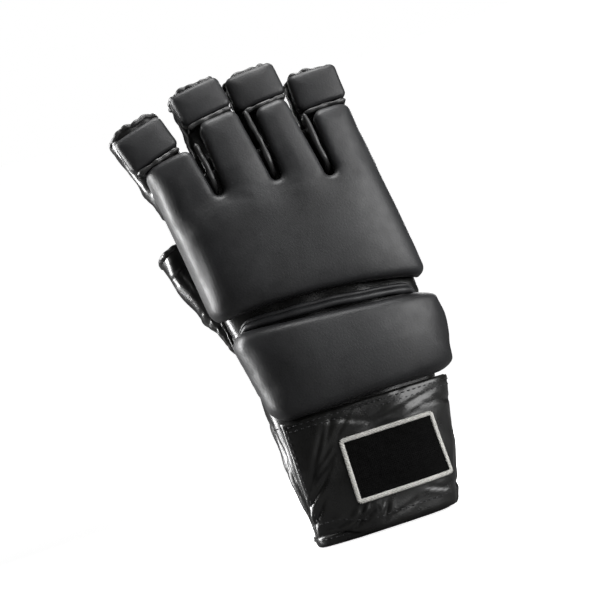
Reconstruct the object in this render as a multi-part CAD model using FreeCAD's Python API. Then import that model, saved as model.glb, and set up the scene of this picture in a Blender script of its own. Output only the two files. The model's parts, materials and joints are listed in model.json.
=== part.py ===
"""Right-hand fingerless mixed-martial-arts glove standing on its cuff, one STEP file per separate piece.

Millimetres. +Z up, +X towards the little finger, -Y out of the back of the hand, +Y out of the palm.
The origin is the centre of the cuff's mouth, in the plane of its hem.
The cuff is drawn in that frame. The hand is drawn in a frame whose origin lies under the wrist
hinge, with its +Z along the hand, and each finger in a frame on its own knuckle hinge.
"""

import FreeCAD, Part
import math
import os
from FreeCAD import Placement, Rotation, Vector

os.makedirs("parts", exist_ok=True)

# Hinges and the clearances round them.
WRIST_PIVOT = Vector(3.5, -18.0, 110.0)
HAND_LEAN = 7.4          # hand axis leans this far towards the thumb, in degrees
WRIST_TILT = 4.0         # wrist crease drops this far towards the little finger, in degrees
WRIST_GAP = 3.6          # hand pad and wrist pad each stop this far from the wrist hinge
WRIST_FLEX = 36.0        # wedge left open on the palm side of the wrist, in degrees
FINGER_FLEX = 51.0       # wedge left open on the palm side of each knuckle, in degrees
KNUCKLE_Y = -6.0         # knuckle hinges, in the hand frame
KNUCKLE_RISE = 2.0       # knuckle hinge above the top of its pad lobe
WEB_Z = 82.0             # webs between the fingers on the palm side
HINGE_SLACK = 0.8        # shells stop this far from a hinge line
COLUMN_DEPTH = 60.0      # from a knuckle down to well below the webs

# Layers of leather, lining and padding.
LEATHER = 1.6
LINING = 1.0
LAYER_GAP = 0.3
COVER = 1.3
FOAM_GAP = 0.15
SHAPE_POWER = 2.8        # superellipse power of the cross-sections
SECTION_POINTS = 24
ROUND_END = 0.95         # corner of a nearly half-round end, as a share of half its width
CRUMB_SHARE = 0.02       # cut-off solids below this share of the biggest are dropped

# Cross-sections of the leather: height, half width, half depth, centre x, centre y.
CUFF_SECTIONS = [
    (0, 33.0, 19.0, 0.0, 0.0),
    (30, 37.5, 19.5, 2.0, 0.0),
    (62, 42.0, 20.0, 4.0, 0.0),
    (90, 45.0, 20.5, 5.5, 0.0),
    (120, 47.0, 20.5, 3.5, 0.0),
]
HAND_SECTIONS = [
    (-16, 46.0, 20.5, 0.0, 0.0),
    (20, 48.0, 20.0, 0.0, 0.0),
    (55, 48.5, 19.0, 0.0, 0.5),
    (80, 49.5, 17.5, -0.5, 2.0),
    (108, 52.5, 15.5, -1.5, 4.5),
]

# Hand pad: four lobes with rounded slots between them.
PAD_HALF = 53.5
PAD_HEIGHT = 14.0        # the pads stand this far off the back of the hand
PAD_SPREAD = 8.0         # and reach this far past its sides
PAD_BACK = -5.0          # pads stop here, before the side seams
SLOTS = [(-25.0, 69.0), (3.5, 65.0), (28.5, 56.0)]   # centre x and foot of each slot
SLOT_WIDTH = 5.0
WELT_WIDTH = 1.6
WELT_HEIGHT = 9.0
WELT_START = 3.0         # above the foot of its slot
KNUCKLE_PIPING = 1.1     # radius
KNUCKLE_PIPING_Y = -6.9  # in the knuckle frame

# Fingers: knuckle's x, fan angle, top of the pad lobe below, sleeve's half width and length,
# and the length of the pad on its back.
FINGERS = [
    {"name": "index", "x": -44.5, "fan": -10.0, "lobe": 96.0, "half": 12.6, "sleeve": 24.0, "pad": 18.5},
    {"name": "middle", "x": -13.0, "fan": -3.0, "lobe": 105.5, "half": 12.4, "sleeve": 20.5, "pad": 17.0},
    {"name": "ring", "x": 14.0, "fan": 1.0, "lobe": 101.0, "half": 12.2, "sleeve": 20.5, "pad": 18.0},
    {"name": "little", "x": 41.0, "fan": 5.0, "lobe": 88.0, "half": 11.8, "sleeve": 21.5, "pad": 19.0},
]
SLEEVE_HALF_DEPTH = 11.5
SLEEVE_CENTRE_Y = 10.0   # sleeve's centre lies this far palmward of the knuckle hinge
SLEEVE_ROOT = -10.0
PALM_REACH = 26.0        # from the knuckle hinge to the palm leather
FINGER_PAD_START = 1.0
FINGER_PAD_HEIGHT = 12.5
FINGER_PAD_SPREAD = 4.0
FINGER_PAD_CORNER = 2.0
FINGER_PAD_TAPER = 3.0
FINGER_PAD_BACK = 4.0
RIM_HEIGHT = 3.0
RIM_THICKNESS = 1.1
RIM_GAP = 0.1

# Wrist pad, piping, strap, patch, fasteners and cuff slit.
WRIST_PAD_X = (-43.0, 61.0)
WRIST_PAD_FOOT = 63.0
WRIST_PAD_TOP = 114.0    # before the crease cuts it
WRIST_PAD_SPREAD = 11.0
WRIST_PAD_CORNER = 12.0
PIPING_HEIGHT = 9.0
STRAP_Z = (1.0, 62.4)
STRAP_ROOT_X = 7.0
STRAP_HINGE = (34.3, -24.0)
STRAP_END_X = -31.0
STRAP_INNER = 3.2
STRAP_OUTER = 5.4
STRAP_CUT = 0.4          # half gap between the sewn part of the strap and its flap
STRAP_HEEL_Y = -16.0     # the flap ends here, so its heel clears the hem as it swings
STRAP_CORNER = 3.0
FASTENER_X = (-17.5, 30.0)
FASTENER_Z = (10.0, 51.0)
FASTENER_THICKNESS = 1.3
FASTENER_CORNER = 2.0
PATCH_X = (-11.0, 33.5)
PATCH_Z = (15.5, 47.0)
PATCH_BORDER = 1.8
PATCH_SLACK = 0.1
PATCH_THICKNESS = 1.2
SLIT_X = (13.0, 27.0)
SLIT_Z = (5.0, 56.0)
SLIT_CORNER = 5.0
GUSSET_LAYER = (-0.5, -1.5)
HEM_HEIGHT = 5.0
HEM_THICKNESS = 1.2

# Palm: grip patch and bar, thumb panel, thumb tab and thenar welt, in the hand frame.
GRIP_PATCH_X = (-47.0, 41.0)
GRIP_PATCH_Z = (46.0, 78.0)
GRIP_PATCH_THICKNESS = 1.2
GRIP_PATCH_CORNER = 2.0
GRIP_BAR_X = (-43.0, 34.5)
GRIP_BAR_Z = (55.5, 68.5)
GRIP_BAR_HEIGHT = 9.0
THUMB_BASE = Vector(-40.0, 8.0, -4.0)
THUMB_RIM = Vector(-52.0, 14.0, 58.0)
THUMB_SECTIONS = [
    (0, 12.0, 15.0, 0.0, 0.0),
    (24, 12.5, 16.0, 0.0, 0.0),
    (66, 11.5, 14.5, 0.0, 0.0),
]
THUMB_TAB = [(-37.0, 36.0), (-29.5, 28.0), (-22.5, 44.5), (-36.0, 44.5)]
TAB_THICKNESS = 1.2
WELT_CENTRE = (-43.0, 8.0)
WELT_RADIUS = 36.5
WELT_END_X = -22.0

FAR = 200.0
EVERYWHERE = (-FAR, FAR)


# ---- Solids from sections and outlines -------------------------------------------------------

def superellipse(half_x, half_y, z, centre_x, centre_y):
    """Closed smooth wire with the square shoulders of a hand inside leather."""
    points = []
    for step in range(SECTION_POINTS):
        angle = 2 * math.pi * step / SECTION_POINTS
        c, s = math.cos(angle), math.sin(angle)
        x = centre_x + half_x * math.copysign(abs(c) ** (2 / SHAPE_POWER), c)
        y = centre_y + half_y * math.copysign(abs(s) ** (2 / SHAPE_POWER), s)
        points.append(Vector(x, y, z))
    curve = Part.BSplineCurve()
    curve.interpolate(Points=points, PeriodicFlag=True)
    return Part.Wire(curve.toShape())


def body(sections, grow_x, grow_y=None):
    """Closed solid through the sections, grown sideways by grow_x and in depth by grow_y."""
    grow_y = grow_x if grow_y is None else grow_y
    wires = [superellipse(a + grow_x, b + grow_y, z, x, y) for z, a, b, x, y in sections]
    return Part.makeLoft(wires, True, False)


def skin(sections, outer, inner):
    """Tube between two offsets of the same body, open at both ends."""
    return body(sections, outer).cut(body(sections, inner))


def block(x, y, z, corner=0.0):
    """Box from (low, high) pairs, its four corners in the X-Z plane rounded."""
    box = Part.makeBox(x[1] - x[0], y[1] - y[0], z[1] - z[0], Vector(x[0], y[0], z[0]))
    if corner == 0:
        return box
    depth_edges = [e for e in box.Edges if e.BoundBox.YLength > (y[1] - y[0]) * 0.99]
    return box.makeFillet(corner, depth_edges)


def plate(outline, y):
    """Plate with a polygon outline of (x, z) points, from y[0] to y[1]."""
    wire = Part.makePolygon([Vector(px, y[0], pz) for px, pz in outline + outline[:1]])
    return Part.Face(wire).extrude(Vector(0, y[1] - y[0], 0))


def wedge_above(slope, slack, x=EVERYWHERE):
    """Space above a hinge on the X axis; its floor rises towards the palm at slope degrees."""
    rise = math.tan(math.radians(slope)) * FAR
    outline = [(-FAR, slack), (0, slack), (FAR, slack + rise), (FAR, 2 * FAR), (-FAR, 2 * FAR)]
    wire = Part.makePolygon([Vector(x[0], py, pz) for py, pz in outline + outline[:1]])
    return Part.Face(wire).extrude(Vector(x[1] - x[0], 0, 0))


def wedge_below(slope, slack, x=EVERYWHERE):
    """Space below a hinge on the X axis; its ceiling drops towards the palm at slope degrees."""
    return wedge_above(slope, slack, x).mirror(Vector(0, 0, 0), Vector(0, 0, 1))


def inset(span, amount):
    """A (low, high) pair drawn in at both ends."""
    return (span[0] + amount, span[1] - amount)


def padded(layer, outline):
    """Foam and cover of one pad.

    layer(low, high) is the space between two heights above the leather, and outline(amount) is
    the pad's outline drawn in by an amount.
    """
    outside = layer(0, 0).common(outline(0))
    cover = outside.cut(layer(COVER, COVER).common(outline(COVER)))
    foam = layer(COVER + FOAM_GAP, COVER + FOAM_GAP).common(outline(COVER + FOAM_GAP))
    return foam, cover


def moved(shape, placement):
    """Copy of a shape carried by a placement."""
    copy = shape.copy()
    copy.Placement = placement.multiply(copy.Placement)
    return copy


def save(name, shape, placement=Placement()):
    """Writes one node, without the crumbs that cutting leaves behind."""
    biggest = max(solid.Volume for solid in shape.Solids)
    solids = [solid for solid in shape.Solids if solid.Volume > biggest * CRUMB_SHARE]
    result = solids[0] if len(solids) == 1 else Part.makeCompound(solids)
    moved(result, placement).exportStep(f"parts/{name}.step")
    volume = sum(solid.Volume for solid in solids) / 1000
    print(f"{name:20s} solids {len(solids)}  volume {volume:7.2f} cm3")


# ---- Frames ----------------------------------------------------------------------------------

HAND = Placement(Vector(WRIST_PIVOT.x, 0, WRIST_PIVOT.z), Rotation(Vector(0, 1, 0), -HAND_LEAN))
CREASE = Placement(WRIST_PIVOT, Rotation(Vector(0, 1, 0), WRIST_TILT))
CREASE_IN_HAND = HAND.inverse().multiply(CREASE)


THUMB = Placement(THUMB_BASE, Rotation(Vector(0, 0, 1), THUMB_RIM - THUMB_BASE))


def knuckle(finger):
    """Frame of one finger's knuckle hinge, in the hand frame."""
    hinge = Vector(finger["x"], KNUCKLE_Y, finger["lobe"] + KNUCKLE_RISE)
    return Placement(hinge, Rotation(Vector(0, 1, 0), finger["fan"]))


def hand_slope(finger):
    """Slope of the hand's edge under one finger: it runs from the knuckle to the web."""
    return math.degrees(math.atan2(knuckle(finger).Base.z - WEB_Z, PALM_REACH))


# ---- Cuff and strap --------------------------------------------------------------------------

def cuff_space():
    """Everything on the cuff's side of the wrist crease."""
    return moved(wedge_below(WRIST_FLEX, HINGE_SLACK), CREASE)


def cuff():
    """Leather tube with a slit under the strap, its lining, its gusset and its hem binding."""
    slit = block(SLIT_X, (0, FAR), SLIT_Z, SLIT_CORNER)
    space = cuff_space()
    save("cuff_shell", skin(CUFF_SECTIONS, 0, -LEATHER).common(space).cut(slit))
    lining_outer = -LEATHER - LAYER_GAP
    lining = skin(CUFF_SECTIONS, lining_outer, lining_outer - LINING)
    save("cuff_lining", lining.common(space))
    corner = SLIT_CORNER - LAYER_GAP
    gusset_space = block(inset(SLIT_X, LAYER_GAP), (0, FAR), inset(SLIT_Z, LAYER_GAP), corner)
    save("cuff_gusset", skin(CUFF_SECTIONS, *GUSSET_LAYER).common(gusset_space))
    hem = skin(CUFF_SECTIONS, LAYER_GAP + HEM_THICKNESS, LAYER_GAP)
    save("hem_binding", hem.common(block(EVERYWHERE, EVERYWHERE, (0, HEM_HEIGHT))))


def wrist_pad():
    """Crowned pad across the back of the wrist."""
    def layer(low, high):
        outer = body(CUFF_SECTIONS, WRIST_PAD_SPREAD - high, PAD_HEIGHT - high)
        return outer.cut(body(CUFF_SECTIONS, LAYER_GAP + low))

    def outline(amount):
        x = inset(WRIST_PAD_X, amount)
        z = (WRIST_PAD_FOOT + amount, WRIST_PAD_TOP)
        shape = block(x, (-FAR, PAD_BACK - amount), z, WRIST_PAD_CORNER)
        return shape.common(moved(wedge_below(WRIST_FLEX, WRIST_GAP + amount), CREASE))

    foam, cover = padded(layer, outline)
    save("wrist_pad_foam", foam)
    save("wrist_pad_cover", cover)


def wrist_piping():
    """Leather roll lying in the crease between the hand pad and the wrist pad."""
    band = skin(CUFF_SECTIONS, PIPING_HEIGHT, LAYER_GAP)
    above_pad = block(EVERYWHERE, EVERYWHERE, (LAYER_GAP - WRIST_GAP, 0))
    strip = above_pad.common(wedge_below(WRIST_FLEX, HINGE_SLACK))
    save("wrist_piping", band.common(moved(strip, CREASE)))


def strap():
    """Strap sewn to the palm side, wrapped round the little-finger side, with a flap on the back."""
    band = skin(CUFF_SECTIONS, STRAP_OUTER, STRAP_INNER)
    hinge_x = STRAP_HINGE[0]
    side = block((hinge_x + STRAP_CUT, FAR), EVERYWHERE, STRAP_Z)
    palm = block((STRAP_ROOT_X, FAR), (0, FAR), STRAP_Z)
    save("strap_wrap", band.common(side.fuse(palm)))
    flap = block((STRAP_END_X, hinge_x - STRAP_CUT), (-FAR, STRAP_HEEL_Y), STRAP_Z, STRAP_CORNER)
    save("strap_flap", band.common(flap))


def fasteners():
    """Loop pile sewn on the cuff and hook tape sewn inside the flap."""
    window = block(FASTENER_X, (-FAR, 0), FASTENER_Z, FASTENER_CORNER)
    loop_top = LAYER_GAP / 2 + FASTENER_THICKNESS
    save("loop_fastener", skin(CUFF_SECTIONS, loop_top, LAYER_GAP / 2).common(window))
    hook_top = STRAP_INNER - LAYER_GAP / 2
    save("hook_fastener", skin(CUFF_SECTIONS, hook_top, hook_top - FASTENER_THICKNESS).common(window))


def label():
    """Blank woven patch and its light border on the strap's flap."""
    low = STRAP_OUTER + LAYER_GAP / 2
    layer = skin(CUFF_SECTIONS, low + PATCH_THICKNESS, low)
    window = block(inset(PATCH_X, PATCH_BORDER), (-FAR, 0), inset(PATCH_Z, PATCH_BORDER))
    band = PATCH_BORDER - PATCH_SLACK
    gap = block(inset(PATCH_X, band), (-FAR, 0), inset(PATCH_Z, band))
    save("label_patch", layer.common(window))
    save("label_border", layer.common(block(PATCH_X, (-FAR, 0), PATCH_Z)).cut(gap))


# ---- Hand ------------------------------------------------------------------------------------

def hand_space():
    """Everything that belongs to the hand: up to the webs, and up to each knuckle below it."""
    space = block(EVERYWHERE, EVERYWHERE, (-FAR, WEB_Z))
    for finger in FINGERS:
        column = wedge_below(hand_slope(finger), HINGE_SLACK, (-finger["half"], finger["half"]))
        column = column.common(block(EVERYWHERE, EVERYWHERE, (-COLUMN_DEPTH, 0)))
        space = space.fuse(moved(column, knuckle(finger)))
    return space.common(moved(wedge_above(0, HINGE_SLACK), CREASE_IN_HAND))


def thumb_body(grow):
    """Tapered tube from inside the palm out to the thumb hole's rim."""
    return moved(body(THUMB_SECTIONS, grow), THUMB)


def hand_shell(space):
    """Leather back, leather palm and lining, all open at the thumb."""
    thumb_hole = thumb_body(-LEATHER)
    leather = skin(HAND_SECTIONS, 0, -LEATHER).common(space).cut(thumb_hole)
    back = block(EVERYWHERE, (-FAR, 0), EVERYWHERE)
    front = block(EVERYWHERE, (LAYER_GAP, FAR), EVERYWHERE)
    save("dorsal_panel", leather.common(back), HAND)
    save("palm_panel", leather.common(front), HAND)
    lining_outer = -LEATHER - LAYER_GAP
    lining = skin(HAND_SECTIONS, lining_outer, lining_outer - LINING).common(space)
    save("hand_lining", lining.cut(thumb_hole), HAND)


def hand_pad():
    """Moulded pad with four knuckle lobes."""
    edges = [-PAD_HALF] + [x for x, foot in SLOTS] + [PAD_HALF]

    def layer(low, high):
        outer = body(HAND_SECTIONS, PAD_SPREAD - high, PAD_HEIGHT - high)
        return outer.cut(body(HAND_SECTIONS, LAYER_GAP + low))

    def outline(amount):
        depth = (-FAR, PAD_BACK - amount)
        shape = block(inset((edges[0], edges[-1]), amount), depth, (-FAR, SLOTS[-1][1]))
        for left, right, finger in zip(edges, edges[1:], FINGERS):
            x = (max(left, edges[0] + amount), min(right, edges[-1] - amount))
            shape = shape.fuse(block(x, depth, (0, finger["lobe"] - amount)))
        width = SLOT_WIDTH / 2 + amount
        for x, foot in SLOTS:
            slot = block((x - width, x + width), EVERYWHERE, (foot - amount, FAR), width * ROUND_END)
            shape = shape.cut(slot)
        return shape.common(moved(wedge_above(0, WRIST_GAP + amount), CREASE_IN_HAND))

    foam, cover = padded(layer, outline)
    save("hand_pad_foam", foam, HAND)
    save("hand_pad_cover", cover, HAND)


def knuckle_trim():
    """Folded leather welts in the slots, and a piping roll on top of each lobe."""
    band = body(HAND_SECTIONS, WELT_HEIGHT).cut(body(HAND_SECTIONS, LAYER_GAP))
    half = WELT_WIDTH / 2
    welts = []
    for (x, foot), left, right in zip(SLOTS, FINGERS, FINGERS[1:]):
        z = (foot + WELT_START, min(left["lobe"], right["lobe"]))
        welts.append(band.common(block((x - half, x + half), (-FAR, PAD_BACK), z)))
    save("knuckle_welts", Part.makeCompound(welts), HAND)
    rolls = []
    for finger in FINGERS:
        half = finger["half"] - KNUCKLE_PIPING
        centre = Vector(-half, KNUCKLE_PIPING_Y, -HINGE_SLACK)
        roll = Part.makeCylinder(KNUCKLE_PIPING, 2 * half, centre, Vector(1, 0, 0))
        above_lobe = block(EVERYWHERE, EVERYWHERE, (finger["lobe"] + LAYER_GAP, FAR))
        rolls.append(moved(roll, knuckle(finger)).common(above_lobe))
    piping = Part.makeCompound(rolls).cut(body(HAND_SECTIONS, LAYER_GAP))
    save("knuckle_piping", piping, HAND)


def grip():
    """Stitched patch across the palm with a padded bar on it, both trimmed round the thumb hole."""
    low = LAYER_GAP
    high = low + GRIP_PATCH_THICKNESS
    front = (0, FAR)
    patch = skin(HAND_SECTIONS, high, low)
    patch = patch.common(block(GRIP_PATCH_X, front, GRIP_PATCH_Z, GRIP_PATCH_CORNER))
    save("grip_patch", patch.cut(thumb_body(RIM_THICKNESS)), HAND)
    low = high + LAYER_GAP

    def bar_layer(low_inset, high_inset):
        outer = body(HAND_SECTIONS, high, low + GRIP_BAR_HEIGHT - high_inset)
        return outer.cut(body(HAND_SECTIONS, low + low_inset))

    def bar_outline(amount):
        corner = (GRIP_BAR_Z[1] - GRIP_BAR_Z[0]) / 2 - amount
        bar = block(inset(GRIP_BAR_X, amount), front, inset(GRIP_BAR_Z, amount), corner * ROUND_END)
        return bar.cut(thumb_body(RIM_THICKNESS + amount))

    foam, cover = padded(bar_layer, bar_outline)
    save("grip_bar_foam", foam, HAND)
    save("grip_bar_cover", cover, HAND)


def thumb(space):
    """Leather bulge round the thumb's base, the binding of its rim, and the tab beside it."""
    hand = body(HAND_SECTIONS, LAYER_GAP)
    length = (THUMB_RIM - THUMB_BASE).Length
    below_rim = moved(block(EVERYWHERE, EVERYWHERE, (-FAR, length - RIM_HEIGHT)), THUMB)
    at_rim = moved(block(EVERYWHERE, EVERYWHERE, (length - RIM_HEIGHT + RIM_GAP, length)), THUMB)
    behind_pad = block(EVERYWHERE, (PAD_BACK + LAYER_GAP, FAR), EVERYWHERE)
    panel = thumb_body(0).cut(thumb_body(-LEATHER)).cut(hand).common(behind_pad)
    above_crease = moved(wedge_above(0, HINGE_SLACK), CREASE_IN_HAND)
    save("thumb_panel", panel.common(below_rim).common(above_crease), HAND)
    binding = thumb_body(RIM_THICKNESS / 2).cut(thumb_body(-LEATHER - RIM_THICKNESS / 2)).cut(hand)
    save("thumb_binding", binding.common(at_rim), HAND)
    clear_of_thumb = thumb_body(RIM_THICKNESS)
    tab = skin(HAND_SECTIONS, LAYER_GAP + TAB_THICKNESS, LAYER_GAP).common(plate(THUMB_TAB, (0, FAR)))
    save("thumb_tab", tab.cut(clear_of_thumb), HAND)
    half = WELT_WIDTH / 2
    centre = Vector(WELT_CENTRE[0], 0, WELT_CENTRE[1])
    ring = Part.makeCylinder(WELT_RADIUS + half, FAR, centre, Vector(0, 1, 0))
    ring = ring.cut(Part.makeCylinder(WELT_RADIUS - half, FAR, centre, Vector(0, 1, 0)))
    ring = ring.common(block((WELT_END_X, FAR), EVERYWHERE, (-FAR, GRIP_PATCH_Z[0] - WELT_WIDTH)))
    welt = skin(HAND_SECTIONS, LAYER_GAP + WELT_WIDTH, LAYER_GAP).common(ring).common(space)
    save("thenar_welt", welt.cut(clear_of_thumb), HAND)


# ---- Fingers ---------------------------------------------------------------------------------

def finger_pieces(finger):
    """Open leather sleeve with lining, bound rim and a crowned pad on its back."""
    name, half, length = finger["name"], finger["half"], finger["sleeve"]
    frame = HAND.multiply(knuckle(finger))
    sections = [
        (SLEEVE_ROOT, half, SLEEVE_HALF_DEPTH, 0.0, SLEEVE_CENTRE_Y),
        (length, half, SLEEVE_HALF_DEPTH, 0.0, SLEEVE_CENTRE_Y),
    ]
    space = wedge_above(FINGER_FLEX - hand_slope(finger), HINGE_SLACK)
    sleeve = skin(sections, 0, -LEATHER).common(space)
    save(f"{name}_sleeve", sleeve, frame)
    lining_outer = -LEATHER - LAYER_GAP
    lining = skin(sections, lining_outer, lining_outer - LINING).common(space)
    save(f"{name}_lining", lining, frame)
    rim_space = block(EVERYWHERE, EVERYWHERE, (length - RIM_HEIGHT, length))
    rim = skin(sections, RIM_GAP + RIM_THICKNESS, RIM_GAP).common(rim_space)
    save(f"{name}_rim", rim.common(space), frame)

    def layer(low, high):
        width = half + FINGER_PAD_SPREAD
        depth = SLEEVE_HALF_DEPTH + FINGER_PAD_HEIGHT
        outer_sections = [
            (SLEEVE_ROOT, width, depth, 0.0, SLEEVE_CENTRE_Y),
            (length, width, depth - FINGER_PAD_TAPER, 0.0, SLEEVE_CENTRE_Y),
        ]
        outer = body(outer_sections, -high)
        return outer.cut(body(sections, RIM_GAP + LAYER_GAP + RIM_THICKNESS + low))

    def outline(amount):
        x = inset((-half, half), amount)
        y = (-FAR, FINGER_PAD_BACK - amount)
        z = inset((FINGER_PAD_START, FINGER_PAD_START + finger["pad"]), amount)
        return block(x, y, z, FINGER_PAD_CORNER)

    foam, cover = padded(layer, outline)
    save(f"{name}_pad_foam", foam, frame)
    save(f"{name}_pad_cover", cover, frame)


cuff()
wrist_pad()
wrist_piping()
strap()
fasteners()
label()
HAND_SPACE = hand_space()
hand_shell(HAND_SPACE)
hand_pad()
knuckle_trim()
grip()
thumb(HAND_SPACE)
for each in FINGERS:
    finger_pieces(each)
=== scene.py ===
"""Looks of a right-hand fingerless mixed-martial-arts glove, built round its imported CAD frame.

Shapes are drawn in millimetres, in the cuff's frame, the hand's frame or a finger's frame, and
are put into the row frame in metres when their mesh is made. +Z is up, +X is the little-finger
side, -Y is the back of the hand and +Y is the palm.

A turn is a share of the way round a body: 0 is the little-finger side, 0.25 the palm, 0.5 the
thumb side and 0.75 the back of the hand. A mesh is a pair: its points and its faces.
"""
import json
import math

import bmesh
import bpy
import numpy as np
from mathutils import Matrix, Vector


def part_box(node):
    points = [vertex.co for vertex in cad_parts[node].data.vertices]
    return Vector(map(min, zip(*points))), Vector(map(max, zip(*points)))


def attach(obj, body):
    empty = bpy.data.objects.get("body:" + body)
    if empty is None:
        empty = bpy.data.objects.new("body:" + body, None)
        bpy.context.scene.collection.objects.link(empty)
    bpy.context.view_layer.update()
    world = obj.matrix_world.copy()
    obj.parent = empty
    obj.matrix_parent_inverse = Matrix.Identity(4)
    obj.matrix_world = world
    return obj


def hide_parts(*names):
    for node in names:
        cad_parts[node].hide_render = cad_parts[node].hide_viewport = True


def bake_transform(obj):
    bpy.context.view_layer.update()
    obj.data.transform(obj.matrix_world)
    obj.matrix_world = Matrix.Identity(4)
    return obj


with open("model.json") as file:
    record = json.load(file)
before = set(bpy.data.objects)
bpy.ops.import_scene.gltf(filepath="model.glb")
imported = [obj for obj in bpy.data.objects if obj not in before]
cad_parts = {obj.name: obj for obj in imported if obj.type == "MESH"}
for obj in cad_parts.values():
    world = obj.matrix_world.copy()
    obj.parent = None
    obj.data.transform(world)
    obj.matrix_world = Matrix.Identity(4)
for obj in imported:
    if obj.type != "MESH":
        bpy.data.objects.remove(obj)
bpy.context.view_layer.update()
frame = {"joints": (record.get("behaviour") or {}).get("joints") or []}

import openvdb
from mathutils import Matrix, Vector
from mathutils.kdtree import KDTree

MM = 0.001

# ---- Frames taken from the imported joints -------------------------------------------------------

JOINTS = {joint["name"]: joint for joint in frame["joints"]}
FINGERS = ("index", "middle", "ring", "little")
HAND_LEAN = math.radians(7.4)


def hinge_tilt(name):
    """Angle between the row frame's X axis and a hinge whose axis points to -X."""
    axis = JOINTS[name]["axis"]
    return math.atan2(axis[2], -axis[0])


def hinge_frame(name):
    """Frame on a hinge: its own X axis lies along the hinge."""
    place = Vector(JOINTS[name]["pos_m"]) / MM
    return Matrix.Translation(place) @ Matrix.Rotation(hinge_tilt(name), 4, "Y")


CUFF = Matrix.Identity(4)
CREASE = hinge_frame("wrist_flex")
WRIST = CREASE.translation
HAND = Matrix.Translation((WRIST.x, 0, WRIST.z)) @ Matrix.Rotation(-HAND_LEAN, 4, "Y")
KNUCKLES = {name: HAND.inverted() @ hinge_frame(f"{name}_curl") for name in FINGERS}
CREASE_IN_HAND = HAND.inverted() @ CREASE

# ---- Driving sizes, in millimetres -------------------------------------------------------------

# Sections are (height, half width, half depth, centre x, centre y).
CUFF_SECTIONS = [
    (0, 33.0, 19.0, 0.0, 0.0),
    (30, 37.5, 19.5, 2.0, 0.0),
    (62, 42.0, 20.0, 4.0, 0.0),
    (90, 45.0, 20.5, 5.5, 0.0),
    (120, 47.0, 20.5, 3.5, 0.0),
]
HAND_SECTIONS = [
    (-40, 45.5, 20.5, 0.0, 0.0),
    (20, 48.0, 20.0, 0.0, 0.0),
    (55, 48.5, 19.0, 0.0, 0.5),
    (80, 49.5, 17.5, -0.5, 2.0),
    (108, 52.5, 15.5, -1.5, 4.5),
]
THUMB_SECTIONS = [
    (-30, 2.0, 3.0, 0.0, 0.0),
    (0, 6.5, 5.0, 0.0, 0.0),
    (12, 8.4, 8.5, 0.0, 0.0),
    (26, 10.6, 12.2, 0.0, 0.0),
    (46, 12.2, 15.0, 0.0, 0.0),
    (64, 11.4, 14.4, 0.0, 0.0),
    (90, 11.0, 14.0, 0.0, 0.0),
]
ROUNDNESS = 2.8
LEATHER = 1.5
PAD_HALF = 53.5
PAD_HEIGHT = 14.0
PAD_BACK = -5.0
PAD_SEWN_Y = -9.0
PAD_VOXEL = 1.1
KNUCKLE_RISE = 2.0
SLOTS = [(-25.0, 69.0), (3.5, 65.0), (28.5, 56.0)]
SLOT_HALF = 2.5
SLEEVE_BASE_X = {"index": -39.8, "middle": -12.6, "ring": 14.0, "little": 37.6}
SLEEVE_BASE_HALF = {"index": 13.6, "middle": 13.9, "ring": 13.2, "little": 12.6}
SLEEVE_HALF = {"index": 12.6, "middle": 12.4, "ring": 12.2, "little": 11.8}
SLEEVE_EASE = {"index": 1.0, "middle": 0.3, "ring": 0.3, "little": 1.0}
SLEEVE_LENGTH = {"index": 24.0, "middle": 20.5, "ring": 20.5, "little": 21.5}
SLEEVE_CUT = 2.5
SLEEVE_DEPTH = 11.5
WEB_DEPTH = 16.6
WEB_Z = 80.0
RIM_SKEW = 3.0
FINGER_PAD = {"index": 18.5, "middle": 17.0, "ring": 18.0, "little": 19.0}
LIP_TOP = -11.8
THUMB_BASE = Vector((-40, 8, -4))
THUMB_RIM = Vector((-52, 14, 58))
THUMB_HOLE = (-3.4, 10.0, 60.0)
TAB_LEFT = [(-34.0, 45.0), (-34.2, 36.0), (-29.4, 28.5)]
TAB_RIGHT = [(-22.0, 45.0), (-25.4, 36.5), (-28.6, 28.5)]
GRIP_X = (-46.0, 41.0)
GRIP_Z = (46.5, 78.0)
BAR_X = (-41.5, 34.5)
BAR_Z = (55.8, 68.2)
STRAP_Z = (1.0, 62.0)
STRAP_END_X = -31.0
STRAP_ROOT_X = 7.0
STRAP_LIFT = 5.3
FASTENER_X = (-17, 29)
FASTENER_Z = (10, 51)
PATCH_X = (-11.0, 33.5)
PATCH_Z = (15.5, 47.0)
PATCH_LIFT = 6.15
STITCH_PITCH = 3.0
STITCH_LENGTH = 2.2
STITCH_RADIUS = 0.3

# ---- Seeded folds ------------------------------------------------------------------------------

# Rows are (seed, count, s span, z span, lean and its spread in degrees, length, depth, width),
# where s is the distance round the girth from the middle of the palm.
PALM_FOLDS = [
    (3, 16, (-30, 42), (-10, 38), 6, 12, 32, 0.45, 1.3),
    (4, 12, (-10, 45), (38, 46), 0, 5, 30, 0.6, 0.9),
    (5, 16, (-40, 45), (-27, -14), 0, 6, 38, 1.1, 1.3),
]
CUFF_FOLDS = [
    (11, 20, (-48, 48), (62, 84), 0, 5, 42, 1.5, 1.5),
    (12, 9, (46, 66), (8, 60), 82, 10, 26, 1.2, 1.4),
    (13, 10, (28, 60), (10, 60), 60, 26, 18, 0.9, 1.2),
    (14, 10, (-2, 40), (8, 58), 20, 30, 20, 0.8, 1.3),
]
CUFF_SIDE_FOLDS = [(55, 74, 57, 5, -2.0, 2.8), (61, 68, 62, 8, 1.8, 1.5)]
WRIST_FOLDS = [(16, 18, (-150, 100), (98, 122), 0, 6, 34, 1.0, 1.2)]
THUMB_FOLDS = [
    (41, 9, (-20, 20), (5, 58), 84, 10, 24, 0.9, 1.2),
    (42, 10, (-20, 20), (0, 30), 15, 22, 18, 0.8, 1.1),
]
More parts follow.
